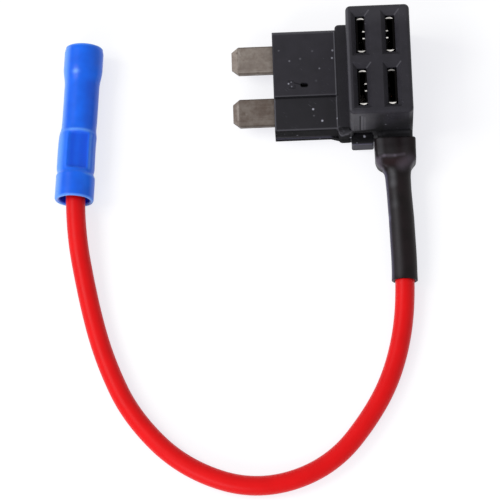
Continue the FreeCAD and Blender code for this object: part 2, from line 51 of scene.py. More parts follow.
def smooth(low, high, value):
    share = min(1.0, max(0.0, (value - low) / (high - low)))
    return share * share * (3 - 2 * share)


def mix(first, second, share):
    return first + (second - first) * share


def bell(value, middle, width):
    # 1 at the middle, fading out to both sides of it
    return math.exp(-((value - middle) / width) ** 2)


def addObject(name, data):
    made = bpy.data.objects.new(name, data)
    scene.collection.objects.link(made)
    return made


def feed(tree, socket, value):
    # a socket takes a link from another one, or a plain value
    if isinstance(value, bpy.types.NodeSocket):
        tree.links.new(value, socket)
    else:
        socket.default_value = value


def addNode(tree, kind, inputs=None, **settings):
    node = tree.nodes.new(kind)
    for name, value in settings.items():
        setattr(node, name, value)
    for name, value in (inputs or {}).items():
        feed(tree, node.inputs[name], value)
    return node


def calculate(tree, operation, first, second=0.0, clamp=False):
    node = addNode(tree, "ShaderNodeMath", {0: first, 1: second}, operation=operation, use_clamp=clamp)
    return node.outputs[0]


def times(tree, first, *factors):
    for factor in factors:
        first = calculate(tree, "MULTIPLY", first, factor)
    return first


def scaled(tree, value, factor, offset):
    # the value times a factor, plus an offset
    node = addNode(tree, "ShaderNodeMath", {0: value, 1: factor, 2: offset}, operation="MULTIPLY_ADD")
    return node.outputs[0]


def vectorMath(tree, operation, first, second, output="Vector"):
    return addNode(tree, "ShaderNodeVectorMath", {0: first, 1: second}, operation=operation).outputs[output]


def axesOf(tree, vector):
    return addNode(tree, "ShaderNodeSeparateXYZ", {0: vector}).outputs


def noise(tree, vector, scale, detail, roughness=0.5):
    inputs = {"Vector": vector, "Scale": scale, "Detail": detail, "Roughness": roughness}
    return addNode(tree, "ShaderNodeTexNoise", inputs).outputs[0]


def stretchedNoise(tree, vector, stretch, detail):
    drawn = addNode(tree, "ShaderNodeMapping", {"Vector": vector, "Scale": stretch})
    return noise(tree, drawn.outputs[0], 1.0, detail)


def ramp(tree, value, low, high, start=0.0, end=1.0):
    # value from low to high becomes start to end, softened at both ends
    node = addNode(tree, "ShaderNodeMapRange",
                   {"Value": value, "From Min": low, "From Max": high, "To Min": start, "To Max": end},
                   interpolation_type="SMOOTHSTEP")
    return node.outputs[0]


def border(tree, value, start, width):
    # 0 before the start, 1 past the width; a negative width turns it round
    return ramp(tree, value, start, start + width)


def blendColours(tree, share, first, second):
    return addNode(tree, "ShaderNodeMix", {0: share, 6: first, 7: second}, data_type="RGBA").outputs[2]


def tinted(tree, colour, mask, strength, other):
    # the colour, turned towards the other one by the mask times the strength
    return blendColours(tree, times(tree, mask, strength), colour, other)


# effects that several finishes share
def newGroup(name, numbers, outputs, vectors=("Vector",)):
    # a shader group whose inputs are vectors, then numbers with their starting values; its outputs are numbers
    group = bpy.data.node_groups.new(name, "ShaderNodeTree")
    for label in vectors:
        group.interface.new_socket(name=label, in_out="INPUT", socket_type="NodeSocketVector")
    for label, value in numbers.items():
        socket = group.interface.new_socket(name=label, in_out="INPUT", socket_type="NodeSocketFloat")
        socket.default_value = value
    for label in outputs:
        group.interface.new_socket(name=label, in_out="OUTPUT", socket_type="NodeSocketFloat")
    return group, group.nodes.new("NodeGroupInput").outputs, group.nodes.new("NodeGroupOutput").inputs


def mouldGrainGroup():
    # fine moulded texture with slow waviness under it
    numbers = {"Fine Scale": 5000.0, "Slow Scale": 300.0, "Slow Share": 0.5}
    group, given, made = newGroup("mouldGrain", numbers, ["Height", "Tone"])
    fine = noise(group, given["Vector"], given["Fine Scale"], 3.0, 0.6)
    slow = noise(group, given["Vector"], given["Slow Scale"], 2.0)
    spread = addNode(group, "ShaderNodeMix", {0: given["Slow Share"], 2: fine, 3: slow})
    feed(group, made["Height"], spread.outputs[0])
    feed(group, made["Tone"], calculate(group, "SUBTRACT", slow, 0.5))
    return group


def dustSpecksGroup():
    # scattered small specks: only the cells whose random number is high enough carry one
    group, given, made = newGroup("dustSpecks", {"Scale": 600.0, "Size": 0.18, "Share": 0.06}, ["Mask"])
    cells = addNode(group, "ShaderNodeTexVoronoi", {"Vector": given["Vector"], "Scale": given["Scale"]}).outputs
    wobble = noise(group, given["Vector"], 4000.0, 1.0)
    size = times(group, given["Size"], calculate(group, "ADD", wobble, 0.5))
    speck = addNode(group, "ShaderNodeMapRange", {"Value": cells["Distance"], "From Min": size,
                                                  "From Max": times(group, size, 0.55)})
    pick = addNode(group, "ShaderNodeSeparateColor", {"Color": cells["Color"]})
    limit = calculate(group, "SUBTRACT", 1.0, given["Share"])
    chosen = calculate(group, "GREATER_THAN", pick.outputs[0], limit)
    feed(group, made["Mask"], calculate(group, "MULTIPLY", speck.outputs[0], chosen, True))
    return group


def rubMarksGroup():
    # faint hair scratches: stretched noise, kept where a slow noise is high
    group, given, made = newGroup("rubMarks", {"Turn": 0.6, "Scale": 900.0, "Stretch": 14.0}, ["Mask"])
    turned = addNode(group, "ShaderNodeVectorRotate", {"Vector": given["Vector"], "Angle": given["Turn"]},
                     rotation_type="Z_AXIS")
    stretch = addNode(group, "ShaderNodeCombineXYZ", {"X": 1.0, "Y": given["Stretch"], "Z": 1.0})
    drawn = vectorMath(group, "MULTIPLY", turned.outputs[0], stretch.outputs[0])
    thin = ramp(group, noise(group, drawn, given["Scale"], 2.0), 0.66, 0.76)
    where = ramp(group, noise(group, given["Vector"], 350.0, 1.0), 0.5, 0.65)
    feed(group, made["Mask"], times(group, thin, where))
    return group


def markGroup():
    # soft line from Start to End, or a dot where both are the same point
    group, given, made = newGroup("markAlong", {"Width": 0.0002}, ["Mask"], ("Vector", "Start", "End"))
    run = vectorMath(group, "SUBTRACT", given["End"], given["Start"])
    off = vectorMath(group, "SUBTRACT", given["Vector"], given["Start"])
    reached = vectorMath(group, "DOT_PRODUCT", off, run, "Value")
    whole = vectorMath(group, "DOT_PRODUCT", run, run, "Value")
    share = calculate(group, "DIVIDE", reached, whole, True)
    foot = addNode(group, "ShaderNodeVectorMath", {0: run, "Scale": share}, operation="SCALE").outputs[0]
    apart = vectorMath(group, "DISTANCE", off, foot, "Value")
    crest = addNode(group, "ShaderNodeMapRange", {"Value": apart, "From Min": given["Width"], "From Max": 0.0},
                    interpolation_type="SMOOTHSTEP")
    feed(group, made["Mask"], crest.outputs[0])
    return group


effects = {
    "grain": mouldGrainGroup(),
    "dust": dustSpecksGroup(),
    "rubs": rubMarksGroup(),
    "mark": markGroup(),
}
print("effect groups made:", len(effects))


def useEffect(tree, name, place, values):
    return addNode(tree, "ShaderNodeGroup", {"Vector": place, **values}, node_tree=effects[name]).outputs


# finishes
def startFinish(name, look, extra=None):
    # a material with these values on its shader; gives its tree, the shader's sockets and the place too
    finish = bpy.data.materials.new(name)
    finish.use_nodes = True
    tree = finish.node_tree
    shader = tree.nodes["Principled BSDF"].inputs
    shader["Roughness"].default_value = look["roughness"]
    for label, value in (extra or {}).items():
        shader[label].default_value = value
    place = tree.nodes.new("ShaderNodeTexCoord").outputs["Object"]
    return finish, tree, shader, place


def complete(tree, shader, colour, rough, height, distance=1.0):
    feed(tree, shader["Base Color"], colour)
    feed(tree, shader["Roughness"], rough)
    bump = addNode(tree, "ShaderNodeBump", {"Height": height, "Distance": distance, "Strength": 1.0})
    feed(tree, shader["Normal"], bump.outputs[0])


def markSum(tree, place, marks):
    # all the marks of one list added up; a mark is start, end, width in millimetres and strength
    total = None
    for start, end, width, strength in marks:
        mark = useEffect(tree, "mark", place, {"Start": [v * 0.001 for v in start],
                                               "End": [v * 0.001 for v in end], "Width": width * 0.001})
        mask = times(tree, mark["Mask"], strength)
        total = mask if total is None else calculate(tree, "ADD", total, mask, True)
    return total


def marked(tree, place, colour, marks, tint):
    return blendColours(tree, markSum(tree, place, marks), colour, tint)


def housingFinish(name, look, marks):
    # glass-filled nylon, slightly textured, with dust in the grain and marks at set places; shade, highlights
    # and glints are painted on it too
    finish, tree, shader, place = startFinish(name, look, {"Specular IOR Level": look["specular"]})
    grain = useEffect(tree, "grain", place, look["grain"])
    dust = useEffect(tree, "dust", place, look["dust"])["Mask"]
    rubs = useEffect(tree, "rubs", place, {})["Mask"]
    # real scrapes, and painted shade in recesses and on the head's side
    scrapesAndShade = markSum(tree, place, marks["dark"])
    specksAndGlints = markSum(tree, place, marks["bright"])
    at = axesOf(tree, place)
    low = ramp(tree, at["Z"], *look["underHead"])
    onFlange = times(tree, low, ramp(tree, at["X"], *look["flangeX"]))
    onStep = times(tree, low, ramp(tree, at["Y"], *look["stepY"]))
    onSide = times(tree, ramp(tree, at["Y"], *look["sideY"]), ramp(tree, at["X"], *look["blockX"]))
    # painted shade: the flange, the lower step and the block's side are turned darker
    shadeZones = calculate(tree, "MAXIMUM", times(tree, onFlange, look["flangeShade"]),
                       times(tree, onStep, look["stepShade"]))
    shadeZones = calculate(tree, "MAXIMUM", shadeZones, onSide)
    colour = blendColours(tree, scaled(tree, grain["Tone"], 1.0, 0.5), look["dark"], look["light"])
    colour = blendColours(tree, shadeZones, colour, look["deep"])
    # painted highlights on edges, slopes and the lit part of the head's side
    colour = marked(tree, place, colour, marks["pale"], look["highlightTint"])
    colour = blendColours(tree, scrapesAndShade, colour, look["deep"])
    colour = tinted(tree, colour, dust, look["dustShare"], look["dustAndGlintTint"])
    colour = tinted(tree, colour, rubs, look["rubShare"], look["dustAndGlintTint"])
    # dust specks and painted glints
    colour = blendColours(tree, specksAndGlints, colour, look["dustAndGlintTint"])
    matt = times(tree, calculate(tree, "MAXIMUM", onSide, scrapesAndShade), look["matt"])
    rough = scaled(tree, grain["Tone"], look["roughSpread"], look["roughness"])
    height = times(tree, grain["Height"], look["grainHeight"])
    for mask in (dust, specksAndGlints):
        height = calculate(tree, "ADD", height, times(tree, mask, look["dustHeight"]))
    complete(tree, shader, colour, calculate(tree, "ADD", rough, matt, True), height)
    return finish


def dot(x, y, z, width, strength):
    return ((x, y, z), (x, y, z), width, strength)


housingLook = {
    "roughness": 0.5,
    "roughSpread": 0.25,
    "matt": 0.45,  # how much rougher the block's side and the dark marks are
    "specular": 0.21,
    "grain": {"Fine Scale": 6500.0, "Slow Scale": 420.0, "Slow Share": 0.35},
    "grainHeight": 0.000018,
    "dust": {"Scale": 620.0, "Size": 0.15, "Share": 0.035},
    "dustHeight": 0.00004,
    "dustShare": 0.12,
    "rubShare": 0.16,
    "dark": paint(25, 24, 29),
    "light": paint(44, 42, 48),
    # the colour of the painted shade and of the dark marks
    "deep": paint(5, 5, 7),
    # colour of the painted highlights
    "highlightTint": paint(80, 79, 83),
    "dustAndGlintTint": paint(196, 196, 206),
    # painted shade on the flange, the lower step and the block's side: from and to of each soft border in
    # metres, and how much
    "underHead": (0.0059, 0.0056),
    "flangeX": (-0.0001, 0.0001),
    "flangeShade": 0.75,
    "stepY": (-0.00290, -0.00300),
    "stepShade": 0.45,
    "sideY": (-0.00895, -0.00908),
    "blockX": (0.0021, 0.0019),
}
slotCorners = [(x + 0.8, y + 3.35) for x in (4.3, 9.4) for y in (4.65, -4.85)]
housingMarks = {
    # painted highlights on the edges of the block, the step and the head, on the slope at the flange's corner,
    # on the head's side and the boss, and on the corners of the head's slots
    "pale": [
        ((-10.7, 8.76, 5.3), (-0.1, 8.76, 5.3), 0.42, 0.8),
        ((-0.14, 8.6, 5.45), (-0.14, -2.9, 5.45), 0.18, 0.8),
        ((-0.14, -3.0, 5.15), (-0.14, -8.9, 5.15), 0.20, 0.9),
        ((-10.7, -2.84, 5.4), (-0.2, -2.84, 5.4), 0.18, 0.6),
        ((-10.75, -3.1, 4.95), (-10.75, -8.8, 4.95), 0.28, 1.0),
        ((-10.4, -8.85, 4.9), (-0.2, -8.85, 4.9), 0.22, 0.8),
        ((2.2, -9.0, 14.2), (2.2, 9.0, 14.2), 0.42, 0.7),
        ((12.55, -8.8, 14.1), (12.55, 8.8, 14.1), 0.30, 0.5),
        ((0.3, -8.9, 5.6), (0.9, -9.75, 5.6), 0.30, 0.3),
        ((0.0, -9.0, 5.2), (0.15, -9.45, 4.1), 0.55, 0.8),
        ((0.15, -9.45, 4.1), (0.59, -9.85, 3.75), 0.65, 0.6),
        ((0.59, -9.85, 3.75), (1.35, -9.85, 4.25), 0.75, 0.6),
        ((1.35, -9.85, 4.25), (2.3, -9.8, 5.2), 0.65, 0.5),
        ((0.4, -9.86, 5.0), (1.9, -9.86, 5.3), 1.1, 0.34),
        ((-10.6, -9.1, 1.9), (-1.6, -9.1, 1.6), 0.70, 0.42),
        ((4.02, -9.8, 6.2), (4.02, -9.8, 12.6), 0.24, 0.9),
        ((4.50, -9.8, 6.2), (4.50, -9.8, 12.2), 0.20, 0.6),
        ((3.5, -9.8, 7.0), (3.5, -9.8, 13.2), 2.2, 0.46),
        ((6.9, -10.35, 5.3), (7.6, -10.35, 5.3), 0.55, 0.7),
        ((7.8, -10.2, 5.4), (12.0, -10.2, 5.4), 0.40, 0.3),
        ((3.2, 8.4, 14.6), (11.6, 8.4, 14.6), 3.0, 0.20),
    ] + [((x, y, 13.75), (x + 0.72, y + 0.72, 14.47), 0.20, 1.0) for x, y in slotCorners],
    # dust specks on the block, and painted glints on the head's side and beside the ledge, where metal shows
    # through the window
    "bright": [
        dot(-0.61, 3.84, 5.4, 0.26, 0.6), dot(-0.49, 5.24, 5.4, 0.26, 0.5),
        dot(-7.96, 3.58, 5.4, 0.26, 0.28), dot(-6.09, 3.92, 5.4, 0.30, 0.12),
        dot(-3.97, 5.26, 5.4, 0.30, 0.10), dot(-2.85, 2.01, 5.4, 0.24, 0.32),
        dot(-3.48, -0.23, 5.4, 0.32, 0.06), dot(-8.24, -0.60, 5.4, 0.22, 0.7),
        dot(-7.78, -0.32, 5.4, 0.20, 0.3), dot(-7.72, -1.13, 5.4, 0.20, 0.32),
        dot(-4.18, -5.29, 5.05, 0.28, 0.9), dot(-4.09, -6.49, 5.05, 0.24, 0.14),
        dot(-2.69, -7.46, 5.05, 0.28, 0.9), dot(-0.10, -7.15, 5.1, 0.24, 0.4),
        dot(-7.07, -9.1, 2.73, 0.24, 0.3), dot(8.03, -9.8, 8.36, 0.24, 0.35),
        dot(4.40, -9.8, 3.1, 0.26, 0.9), dot(2.10, -9.83, 2.5, 0.30, 1.0),
    ],
    # painted shade at the foot of the step, along the block's side, low on the head's side, across the head
    # side's right part where the sleeve keeps light off it, and in the gate's pit; real scrapes that run to the
    # gate's pit
    "dark": [
        ((-10.7, -9.1, 3.7), (-0.3, -9.1, 3.5), 1.2, 0.9),
        ((2.6, -9.8, 5.0), (6.4, -9.8, 5.9), 0.9, 1.0),
        ((3.70, -9.8, 6.0), (3.70, -9.8, 12.8), 0.16, 1.0),
        ((7.0, -9.8, 5.6), (7.4, -9.8, 12.6), 1.3, 0.55),
        ((8.8, -9.8, 6.0), (12.2, -9.8, 9.0), 4.6, 0.8),
        ((-5.9, -0.75, 5.4), (-5.2, -0.95, 5.4), 0.50, 1.0),
        ((-10.8, -3.12, 5.05), (-0.2, -3.12, 5.05), 0.24, 0.9),
        ((-8.05, -1.35, 5.4), (-7.35, -1.45, 5.4), 0.16, 0.8),
        ((-8.30, -0.10, 5.4), (-7.40, -0.15, 5.4), 0.16, 0.7),
        ((-7.30, -0.45, 5.4), (-6.25, -0.80, 5.4), 0.18, 0.8),
        ((-7.15, -0.9, 5.4), (-7.15, -1.5, 5.4), 0.14, 0.7),
    ],
}
housingNylon = housingFinish("housingNylon", housingLook, housingMarks)
coverLook = dict(housingLook, dark=paint(13, 13, 17), light=paint(27, 27, 33), highlightTint=paint(86, 84, 102))
coverMarks = {
    # painted light along the cover's edge at the joint and on the lit front face of the ledge
    "pale": [
        ((-10.7, -9.1, 1.3), (-1.5, -9.1, 1.2), 0.60, 0.45),
        ((2.4, -11.25, 2.75), (5.9, -11.25, 2.75), 0.30, 0.8),
        ((2.4, -11.25, 1.3), (5.8, -11.25, 1.3), 1.7, 0.25),
    ],
    # a painted glint beside the ledge where metal shows through the window, and dust specks
    "bright": [
        dot(4.44, -9.88, 3.0, 0.32, 0.9), dot(3.1, -11.0, 3.0, 0.16, 0.3),
        dot(-3.2, -9.1, 0.8, 0.2, 0.3),
    ],
    # painted shade on the ledge's top, under the head
    "dark": [((2.3, -10.2, 3.0), (5.9, -10.2, 3.0), 1.1, 0.95)],
}
coverNylon = housingFinish("coverNylon", coverLook, coverMarks)


platingGrain = {
    "stretch": (90.0, 2600.0, 900.0),
    "lineDetail": 4.0,
    "lines": (0.45, 0.8, 0.0, 0.18),
    "lineHeight": 0.000004,
    # scale, detail and roughness of the noises, and what the ramps make of them
    "cloudNoise": (420.0, 4.0, 0.62),
    "cloud": (0.32, 0.68),
    "stainNoise": (1300.0, 3.0, 0.6),
    "stain": (0.42, 0.72, 0.0, 0.55),
    "pits": {"Scale": 900.0, "Size": 0.2, "Share": 0.10},
    "pitShare": 0.35,
    "pitDepth": 0.00001,
    "roughFrom": (0.3, 0.7),
    "roughSpread": 0.06,
}


def bladeFinish(name, look):
    # dull plated brass: cloudy tarnish in patches, faint lines along the blade, small pits, darker cut edges
    finish, tree, shader, place = startFinish(name, look, {"Metallic": 1.0})
    grain = platingGrain
    lines = stretchedNoise(tree, place, grain["stretch"], grain["lineDetail"])
    cloud = noise(tree, place, *grain["cloudNoise"])
    stain = noise(tree, place, *grain["stainNoise"])
    pits = useEffect(tree, "dust", place, grain["pits"])["Mask"]
    colour = blendColours(tree, ramp(tree, cloud, *grain["cloud"]), look["dark"], look["light"])
    colour = blendColours(tree, ramp(tree, stain, *grain["stain"]), colour, look["stain"])
    colour = blendColours(tree, ramp(tree, lines, *grain["lines"]), colour, look["bright"])
    colour = tinted(tree, colour, pits, grain["pitShare"], look["pit"])
    colour = marked(tree, place, colour, look["dull"], look["pit"])
    colour = marked(tree, place, colour, look["rubbed"], look["bright"])
    spread = grain["roughSpread"]
    rough = ramp(tree, cloud, *grain["roughFrom"], look["roughness"] + spread, look["roughness"] - spread)
    height = calculate(tree, "SUBTRACT", times(tree, lines, grain["lineHeight"]),
                       times(tree, pits, grain["pitDepth"]))
    complete(tree, shader, colour, rough, height)
    return finish


feedPlating = bladeFinish("feedPlating", {
    "roughness": 0.5,
    "dark": paint(113, 104, 98),
    "light": paint(132, 124, 117),
    "bright": paint(154, 147, 142),
    "stain": paint(106, 95, 87),
    "pit": paint(70, 61, 56),
    "dull": [
        ((-16.9, 7.05, 3.6), (-10.9, 7.05, 3.6), 0.22, 0.7),
        ((-16.6, 2.2, 3.6), (-10.9, 2.2, 3.6), 0.30, 0.6),
        dot(-17.0, 6.1, 3.6, 0.30, 0.7),
    ],
    "rubbed": [
        ((-16.8, 2.55, 3.6), (-11.0, 2.55, 3.6), 0.14, 0.5),
        ((-16.9, 3.3, 3.6), (-16.6, 6.2, 3.6), 0.25, 0.25),
        ((-16.7, 6.4, 3.6), (-16.4, 5.6, 3.6), 0.20, 0.5),
    ],
})
loadPlating = bladeFinish("loadPlating", {
    "roughness": 0.5,
    "dark": paint(93, 83, 77),
    "light": paint(113, 105, 99),
    "bright": paint(142, 135, 130),
    "stain": paint(88, 76, 69),
    "pit": paint(60, 52, 47),
    "dull": [
        ((-16.9, -2.6, 3.6), (-10.9, -2.6, 3.6), 0.20, 0.6),
        ((-16.6, -7.45, 3.6), (-10.9, -7.45, 3.6), 0.28, 0.6),
    ],
    "rubbed": [((-17.1, -6.2, 3.6), (-17.1, -3.6, 3.6), 0.36, 0.45), dot(-15.7, -5.2, 3.6, 0.26, 0.4)],
})


sheetGrain = {
    "detail": 3.0,
    "rubScale": 1500.0,
    "rubShare": 0.35,
    "cloud": (0.38, 0.66),
    "roughFrom": (0.3, 0.7),
    "smoother": 0.05,
    "rougher": 0.1,
    "relief": 0.000012,
}


def sheetMetalFinish(name, look):
    # bright rolled strip and wire: rivets, barrel and strands
    finish, tree, shader, place = startFinish(name, look, {"Metallic": 1.0})
    cloud = noise(tree, place, look["scale"], sheetGrain["detail"])
    rubs = useEffect(tree, "rubs", place, {"Scale": sheetGrain["rubScale"], "Turn": look["turn"]})
    colour = blendColours(tree, ramp(tree, cloud, *sheetGrain["cloud"]), look["light"], look["dark"])
    colour = tinted(tree, colour, rubs["Mask"], sheetGrain["rubShare"], look["dark"])
    rough = ramp(tree, cloud, *sheetGrain["roughFrom"], look["roughness"] - sheetGrain["smoother"],
                 look["roughness"] + sheetGrain["rougher"])
    complete(tree, shader, colour, rough, cloud, sheetGrain["relief"])
    return finish


def contactFinish(name, look):
    # tin painted dark, for tarnish and for the shade deep in its slot, with painted highlights only on the ends
    # of each roll and on the tips of its lips
    finish, tree, shader, place = startFinish(name, look, {"Metallic": 1.0})
    at = axesOf(tree, place)
    cloud = noise(tree, place, *look["cloudNoise"])
    across = calculate(tree, "SUBTRACT", at["Y"], look["middleY"])
    away = calculate(tree, "ABSOLUTE", across)
    fromMiddle = calculate(tree, "ABSOLUTE", calculate(tree, "SUBTRACT", at["X"], look["middleX"]))
    fromRoll = calculate(tree, "SUBTRACT", fromMiddle, look["rollX"])
    pastRoll = calculate(tree, "SUBTRACT", away, look["rollY"])
    reach = calculate(tree, "SQRT", calculate(tree, "ADD", times(tree, fromRoll, fromRoll),
                                              times(tree, pastRoll, pastRoll)))
    ends = times(tree, border(tree, away, look["endFrom"], look["edge"]),
                 border(tree, reach, look["rimFrom"], look["edge"]),
                 ramp(tree, across, -look["halfway"], look["halfway"], 1.0, look["highEnd"]))
    tips = times(tree, border(tree, away, look["lipFrom"], look["edge"]),
                 border(tree, away, look["lipTo"], -look["lipEdge"]),
                 border(tree, fromMiddle, look["lipX"], -look["lipFade"]), look["lipShare"])
    # painted highlight on the roll ends and lip tips, just below the top of the contact
    rim = times(tree, calculate(tree, "ADD", ends, tips, True), ramp(tree, at["Z"], *look["rimZ"]))
    paintedHighlight = times(tree, rim, ramp(tree, cloud, *look["uneven"]))
    colour = blendColours(tree, paintedHighlight, look["tarnishAndShade"], look["bright"])
    colour = blendColours(tree, ramp(tree, cloud, *look["brownSpread"]), colour, look["brown"])
    rough = ramp(tree, rim, 0.0, 1.0, look["roughness"] + look["rougher"], look["roughness"])
    complete(tree, shader, colour, rough, cloud, look["relief"])
    return finish


contactLook = {
    "roughness": 0.24,
    "rougher": 0.2,
    "relief": 0.000012,
    # middle of the contact, the rolls' centres from it, and which parts get the painted highlight, metres
    "middleX": 0.00685,
    "middleY": 0.00465,
    "halfway": 0.0005,
    "rollX": 0.00245,
    "rollY": 0.002275,
    "endFrom": 0.00280,
    "rimFrom": 0.00055,
    "edge": 0.00008,
    "lipFrom": 0.00042,
    "lipTo": 0.00078,
    "lipEdge": 0.00010,
    "lipX": 0.00255,
    "lipFade": 0.0003,
    "rimZ": (0.0124, 0.0130),
    "highEnd": 1.0,
    "lipShare": 1.0,
    "cloudNoise": (900.0, 3.0),
    "uneven": (0.35, 0.65, 0.55, 1.0),
    "brownSpread": (0.6, 0.8, 0.0, 0.5),
    # colour of the painted highlight, then the dark of tarnish and painted shade
    "bright": paint(246, 243, 238),
    "tarnishAndShade": paint(13, 12, 12),
    "brown": paint(24, 19, 16),
}
twinTin = contactFinish("twinTin", contactLook)
loadTin = contactFinish("loadTin", dict(contactLook, middleY=-0.00485))
terminalTin = contactFinish("terminalTin", dict(contactLook, middleY=-0.00485, highEnd=0.3, lipShare=0.0))
barrelTin = sheetMetalFinish("barrelTin", {
    "roughness": 0.26,
    "scale": 500.0,
    "turn": 1.2,
    "light": paint(226, 226, 224),
    "dark": paint(158, 156, 152),
})
rivetBrass = sheetMetalFinish("rivetBrass", {
    "roughness": 0.3,
    "scale": 600.0,
    "turn": 0.9,
    "light": paint(222, 190, 112),
    "dark": paint(150, 118, 60),
})
strandCopper = sheetMetalFinish("strandCopper", {
    "roughness": 0.3,
    "scale": 900.0,
    "turn": 0.5,
    "light": paint(224, 140, 96),
    "dark": paint(140, 76, 48),
})


def insulationFinish(look):
    # smooth extruded insulation with faint cloudiness and a little lint
    finish, tree, shader, place = startFinish("redInsulation", look, look["shader"])
    grain = useEffect(tree, "grain", place, look["grain"])
    lint = useEffect(tree, "dust", place, look["lint"])["Mask"]
    tone = scaled(tree, grain["Tone"], look["toneSpread"], 0.5)
    colour = blendColours(tree, tone, look["deep"], look["bright"])
    colour = tinted(tree, colour, lint, look["lintShare"], look["lintTint"])
    rough = scaled(tree, grain["Tone"], look["roughSpread"], look["roughness"])
    complete(tree, shader, colour, rough, grain["Height"], look["grainHeight"])
    return finish


redInsulation = insulationFinish({
    "roughness": 0.42,
    "roughSpread": 0.2,
    "shader": {"Specular IOR Level": 0.15, "Sheen Weight": 0.16, "Sheen Roughness": 0.4},
    "grain": {"Fine Scale": 4200.0, "Slow Scale": 240.0, "Slow Share": 0.6},
    "grainHeight": 0.00001,
    "toneSpread": 1.4,
    "lint": {"Scale": 420.0, "Size": 0.10, "Share": 0.04},
    "lintShare": 0.3,
    "deep": paint(214, 4, 8),
    "bright": paint(230, 8, 12),
    "lintTint": paint(246, 130, 124),
})


def shrinkFinish(look):
    # satin polyolefin, drawn tight, with creases where it is drawn in from the boss to the lead
    finish, tree, shader, place = startFinish("shrinkTube", look, {"Specular IOR Level": look["specular"]})
    grain = useEffect(tree, "grain", place, look["grain"])
    rubs = useEffect(tree, "rubs", place, look["rubs"])["Mask"]
    colour = blendColours(tree, ramp(tree, grain["Tone"], -0.2, 0.2), look["dark"], look["light"])
    colour = tinted(tree, colour, rubs, look["rubShare"], look["rubTint"])
    for tint, marks in look["marks"]:
        colour = marked(tree, place, colour, marks, tint)
    creases = stretchedNoise(tree, place, look["creaseStretch"], 2.0)
    atY = axesOf(tree, place)["Y"]
    here = times(tree, border(tree, atY, look["creaseTo"], look["creaseFade"]),
                 border(tree, atY, look["creaseFrom"], -look["creaseFade"]))
    height = calculate(tree, "ADD", times(tree, grain["Height"], look["grainHeight"]),
                       times(tree, creases, here, look["creaseHeight"]))
    rough = scaled(tree, grain["Tone"], look["roughSpread"], look["roughness"])
    complete(tree, shader, colour, rough, height)
    return finish


shrinkTube = shrinkFinish({
    "roughness": 0.40,
    "roughSpread": 0.3,
    "specular": 0.13,
    "grain": {"Fine Scale": 5200.0, "Slow Scale": 380.0, "Slow Share": 0.5},
    "grainHeight": 0.00002,
    "rubs": {"Turn": 1.45, "Scale": 700.0},
    "rubShare": 0.3,
    "creaseStretch": (800.0, 260.0, 700.0),
    "creaseFrom": -0.0120,
    "creaseTo": -0.0182,
    "creaseFade": 0.0012,
    "creaseHeight": 0.00010,
    "dark": paint(13, 7, 8),
    "light": paint(23, 15, 17),
    "rubTint": paint(70, 66, 72),
    "marks": [
        # redder where the tube is drawn in below the boss
        (paint(48, 24, 28), [((8.2, -15.4, 5.1), (11.0, -15.5, 5.0), 1.3, 0.4)]),
        # painted highlight along the top of the tube and on the boss
        (paint(106, 106, 108), [
            ((8.75, -17.2, 5.0), (8.85, -19.2, 4.9), 1.2, 0.30),
            ((8.85, -19.2, 4.9), (9.05, -23.0, 4.7), 1.1, 0.13),
            ((9.05, -23.0, 4.7), (9.30, -35.0, 4.0), 1.3, 0.13),
            ((6.95, -11.3, 5.9), (7.05, -13.9, 5.9), 0.9, 0.28),
            ((8.4, -11.6, 5.9), (8.6, -13.6, 5.9), 2.2, 0.10),
            ((11.3, -11.6, 5.9), (11.3, -13.8, 5.9), 1.2, 0.07),
        ]),
        # painted light on its left side
        (paint(104, 101, 128), [
            ((7.62, -17.0, 3.6), (7.88, -25.0, 3.4), 1.15, 0.44),
            ((7.88, -25.0, 3.4), (8.15, -35.5, 2.9), 1.05, 0.38),
            ((6.1, -11.4, 3.8), (6.2, -14.4, 3.8), 1.3, 0.20),
        ]),
        # painted highlights along the step at the end of the boss and on the corners beside it
        (paint(112, 104, 114), [
            ((6.9, -14.75, 5.8), (7.6, -14.5, 5.85), 0.50, 0.30),
            ((7.6, -14.5, 5.85), (9.4, -14.55, 5.85), 0.50, 0.28),
            ((9.4, -14.55, 5.85), (11.0, -14.35, 5.85), 0.45, 0.20),
            ((6.6, -15.0, 4.9), (7.0, -16.1, 4.0), 1.05, 0.55),
            ((11.9, -15.0, 4.9), (10.6, -16.0, 4.9), 1.7, 0.27),
            ((12.6, -15.3, 4.4), (12.2, -16.0, 4.2), 0.80, 0.3),
        ]),
    ],
})


def sleeveFinish(look):
    # blue nylon sleeve, a little milky, smooth with faint flow marks, with painted shade and painted light from
    # the mesh's tones
    finish, tree, shader, place = startFinish("blueSleeve", look, look["shader"])
    grain = useEffect(tree, "grain", place, look["grain"])
    specks = useEffect(tree, "dust", place, look["specks"])["Mask"]
    colour = blendColours(tree, ramp(tree, grain["Tone"], -0.2, 0.2), look["deep"], look["bright"])
    colour = tinted(tree, colour, specks, look["speckShare"], look["speckTint"])
    # painted on the mesh: red for painted shade on the die's panel and the right flank, green for painted
    # highlights on edges, rims, the left flank and one glint, blue for painted shade inside the bore
    painted = addNode(tree, "ShaderNodeAttribute", attribute_name="tones").outputs["Color"]
    shares = addNode(tree, "ShaderNodeSeparateColor", {0: painted}).outputs
    for share, tint in zip(shares, ("paintedShade", "paintedLight", "bore")):
        colour = blendColours(tree, share, colour, look[tint])
    rough = scaled(tree, grain["Tone"], look["roughSpread"], look["roughness"])
    complete(tree, shader, colour, rough, grain["Height"], look["grainHeight"])
    return finish


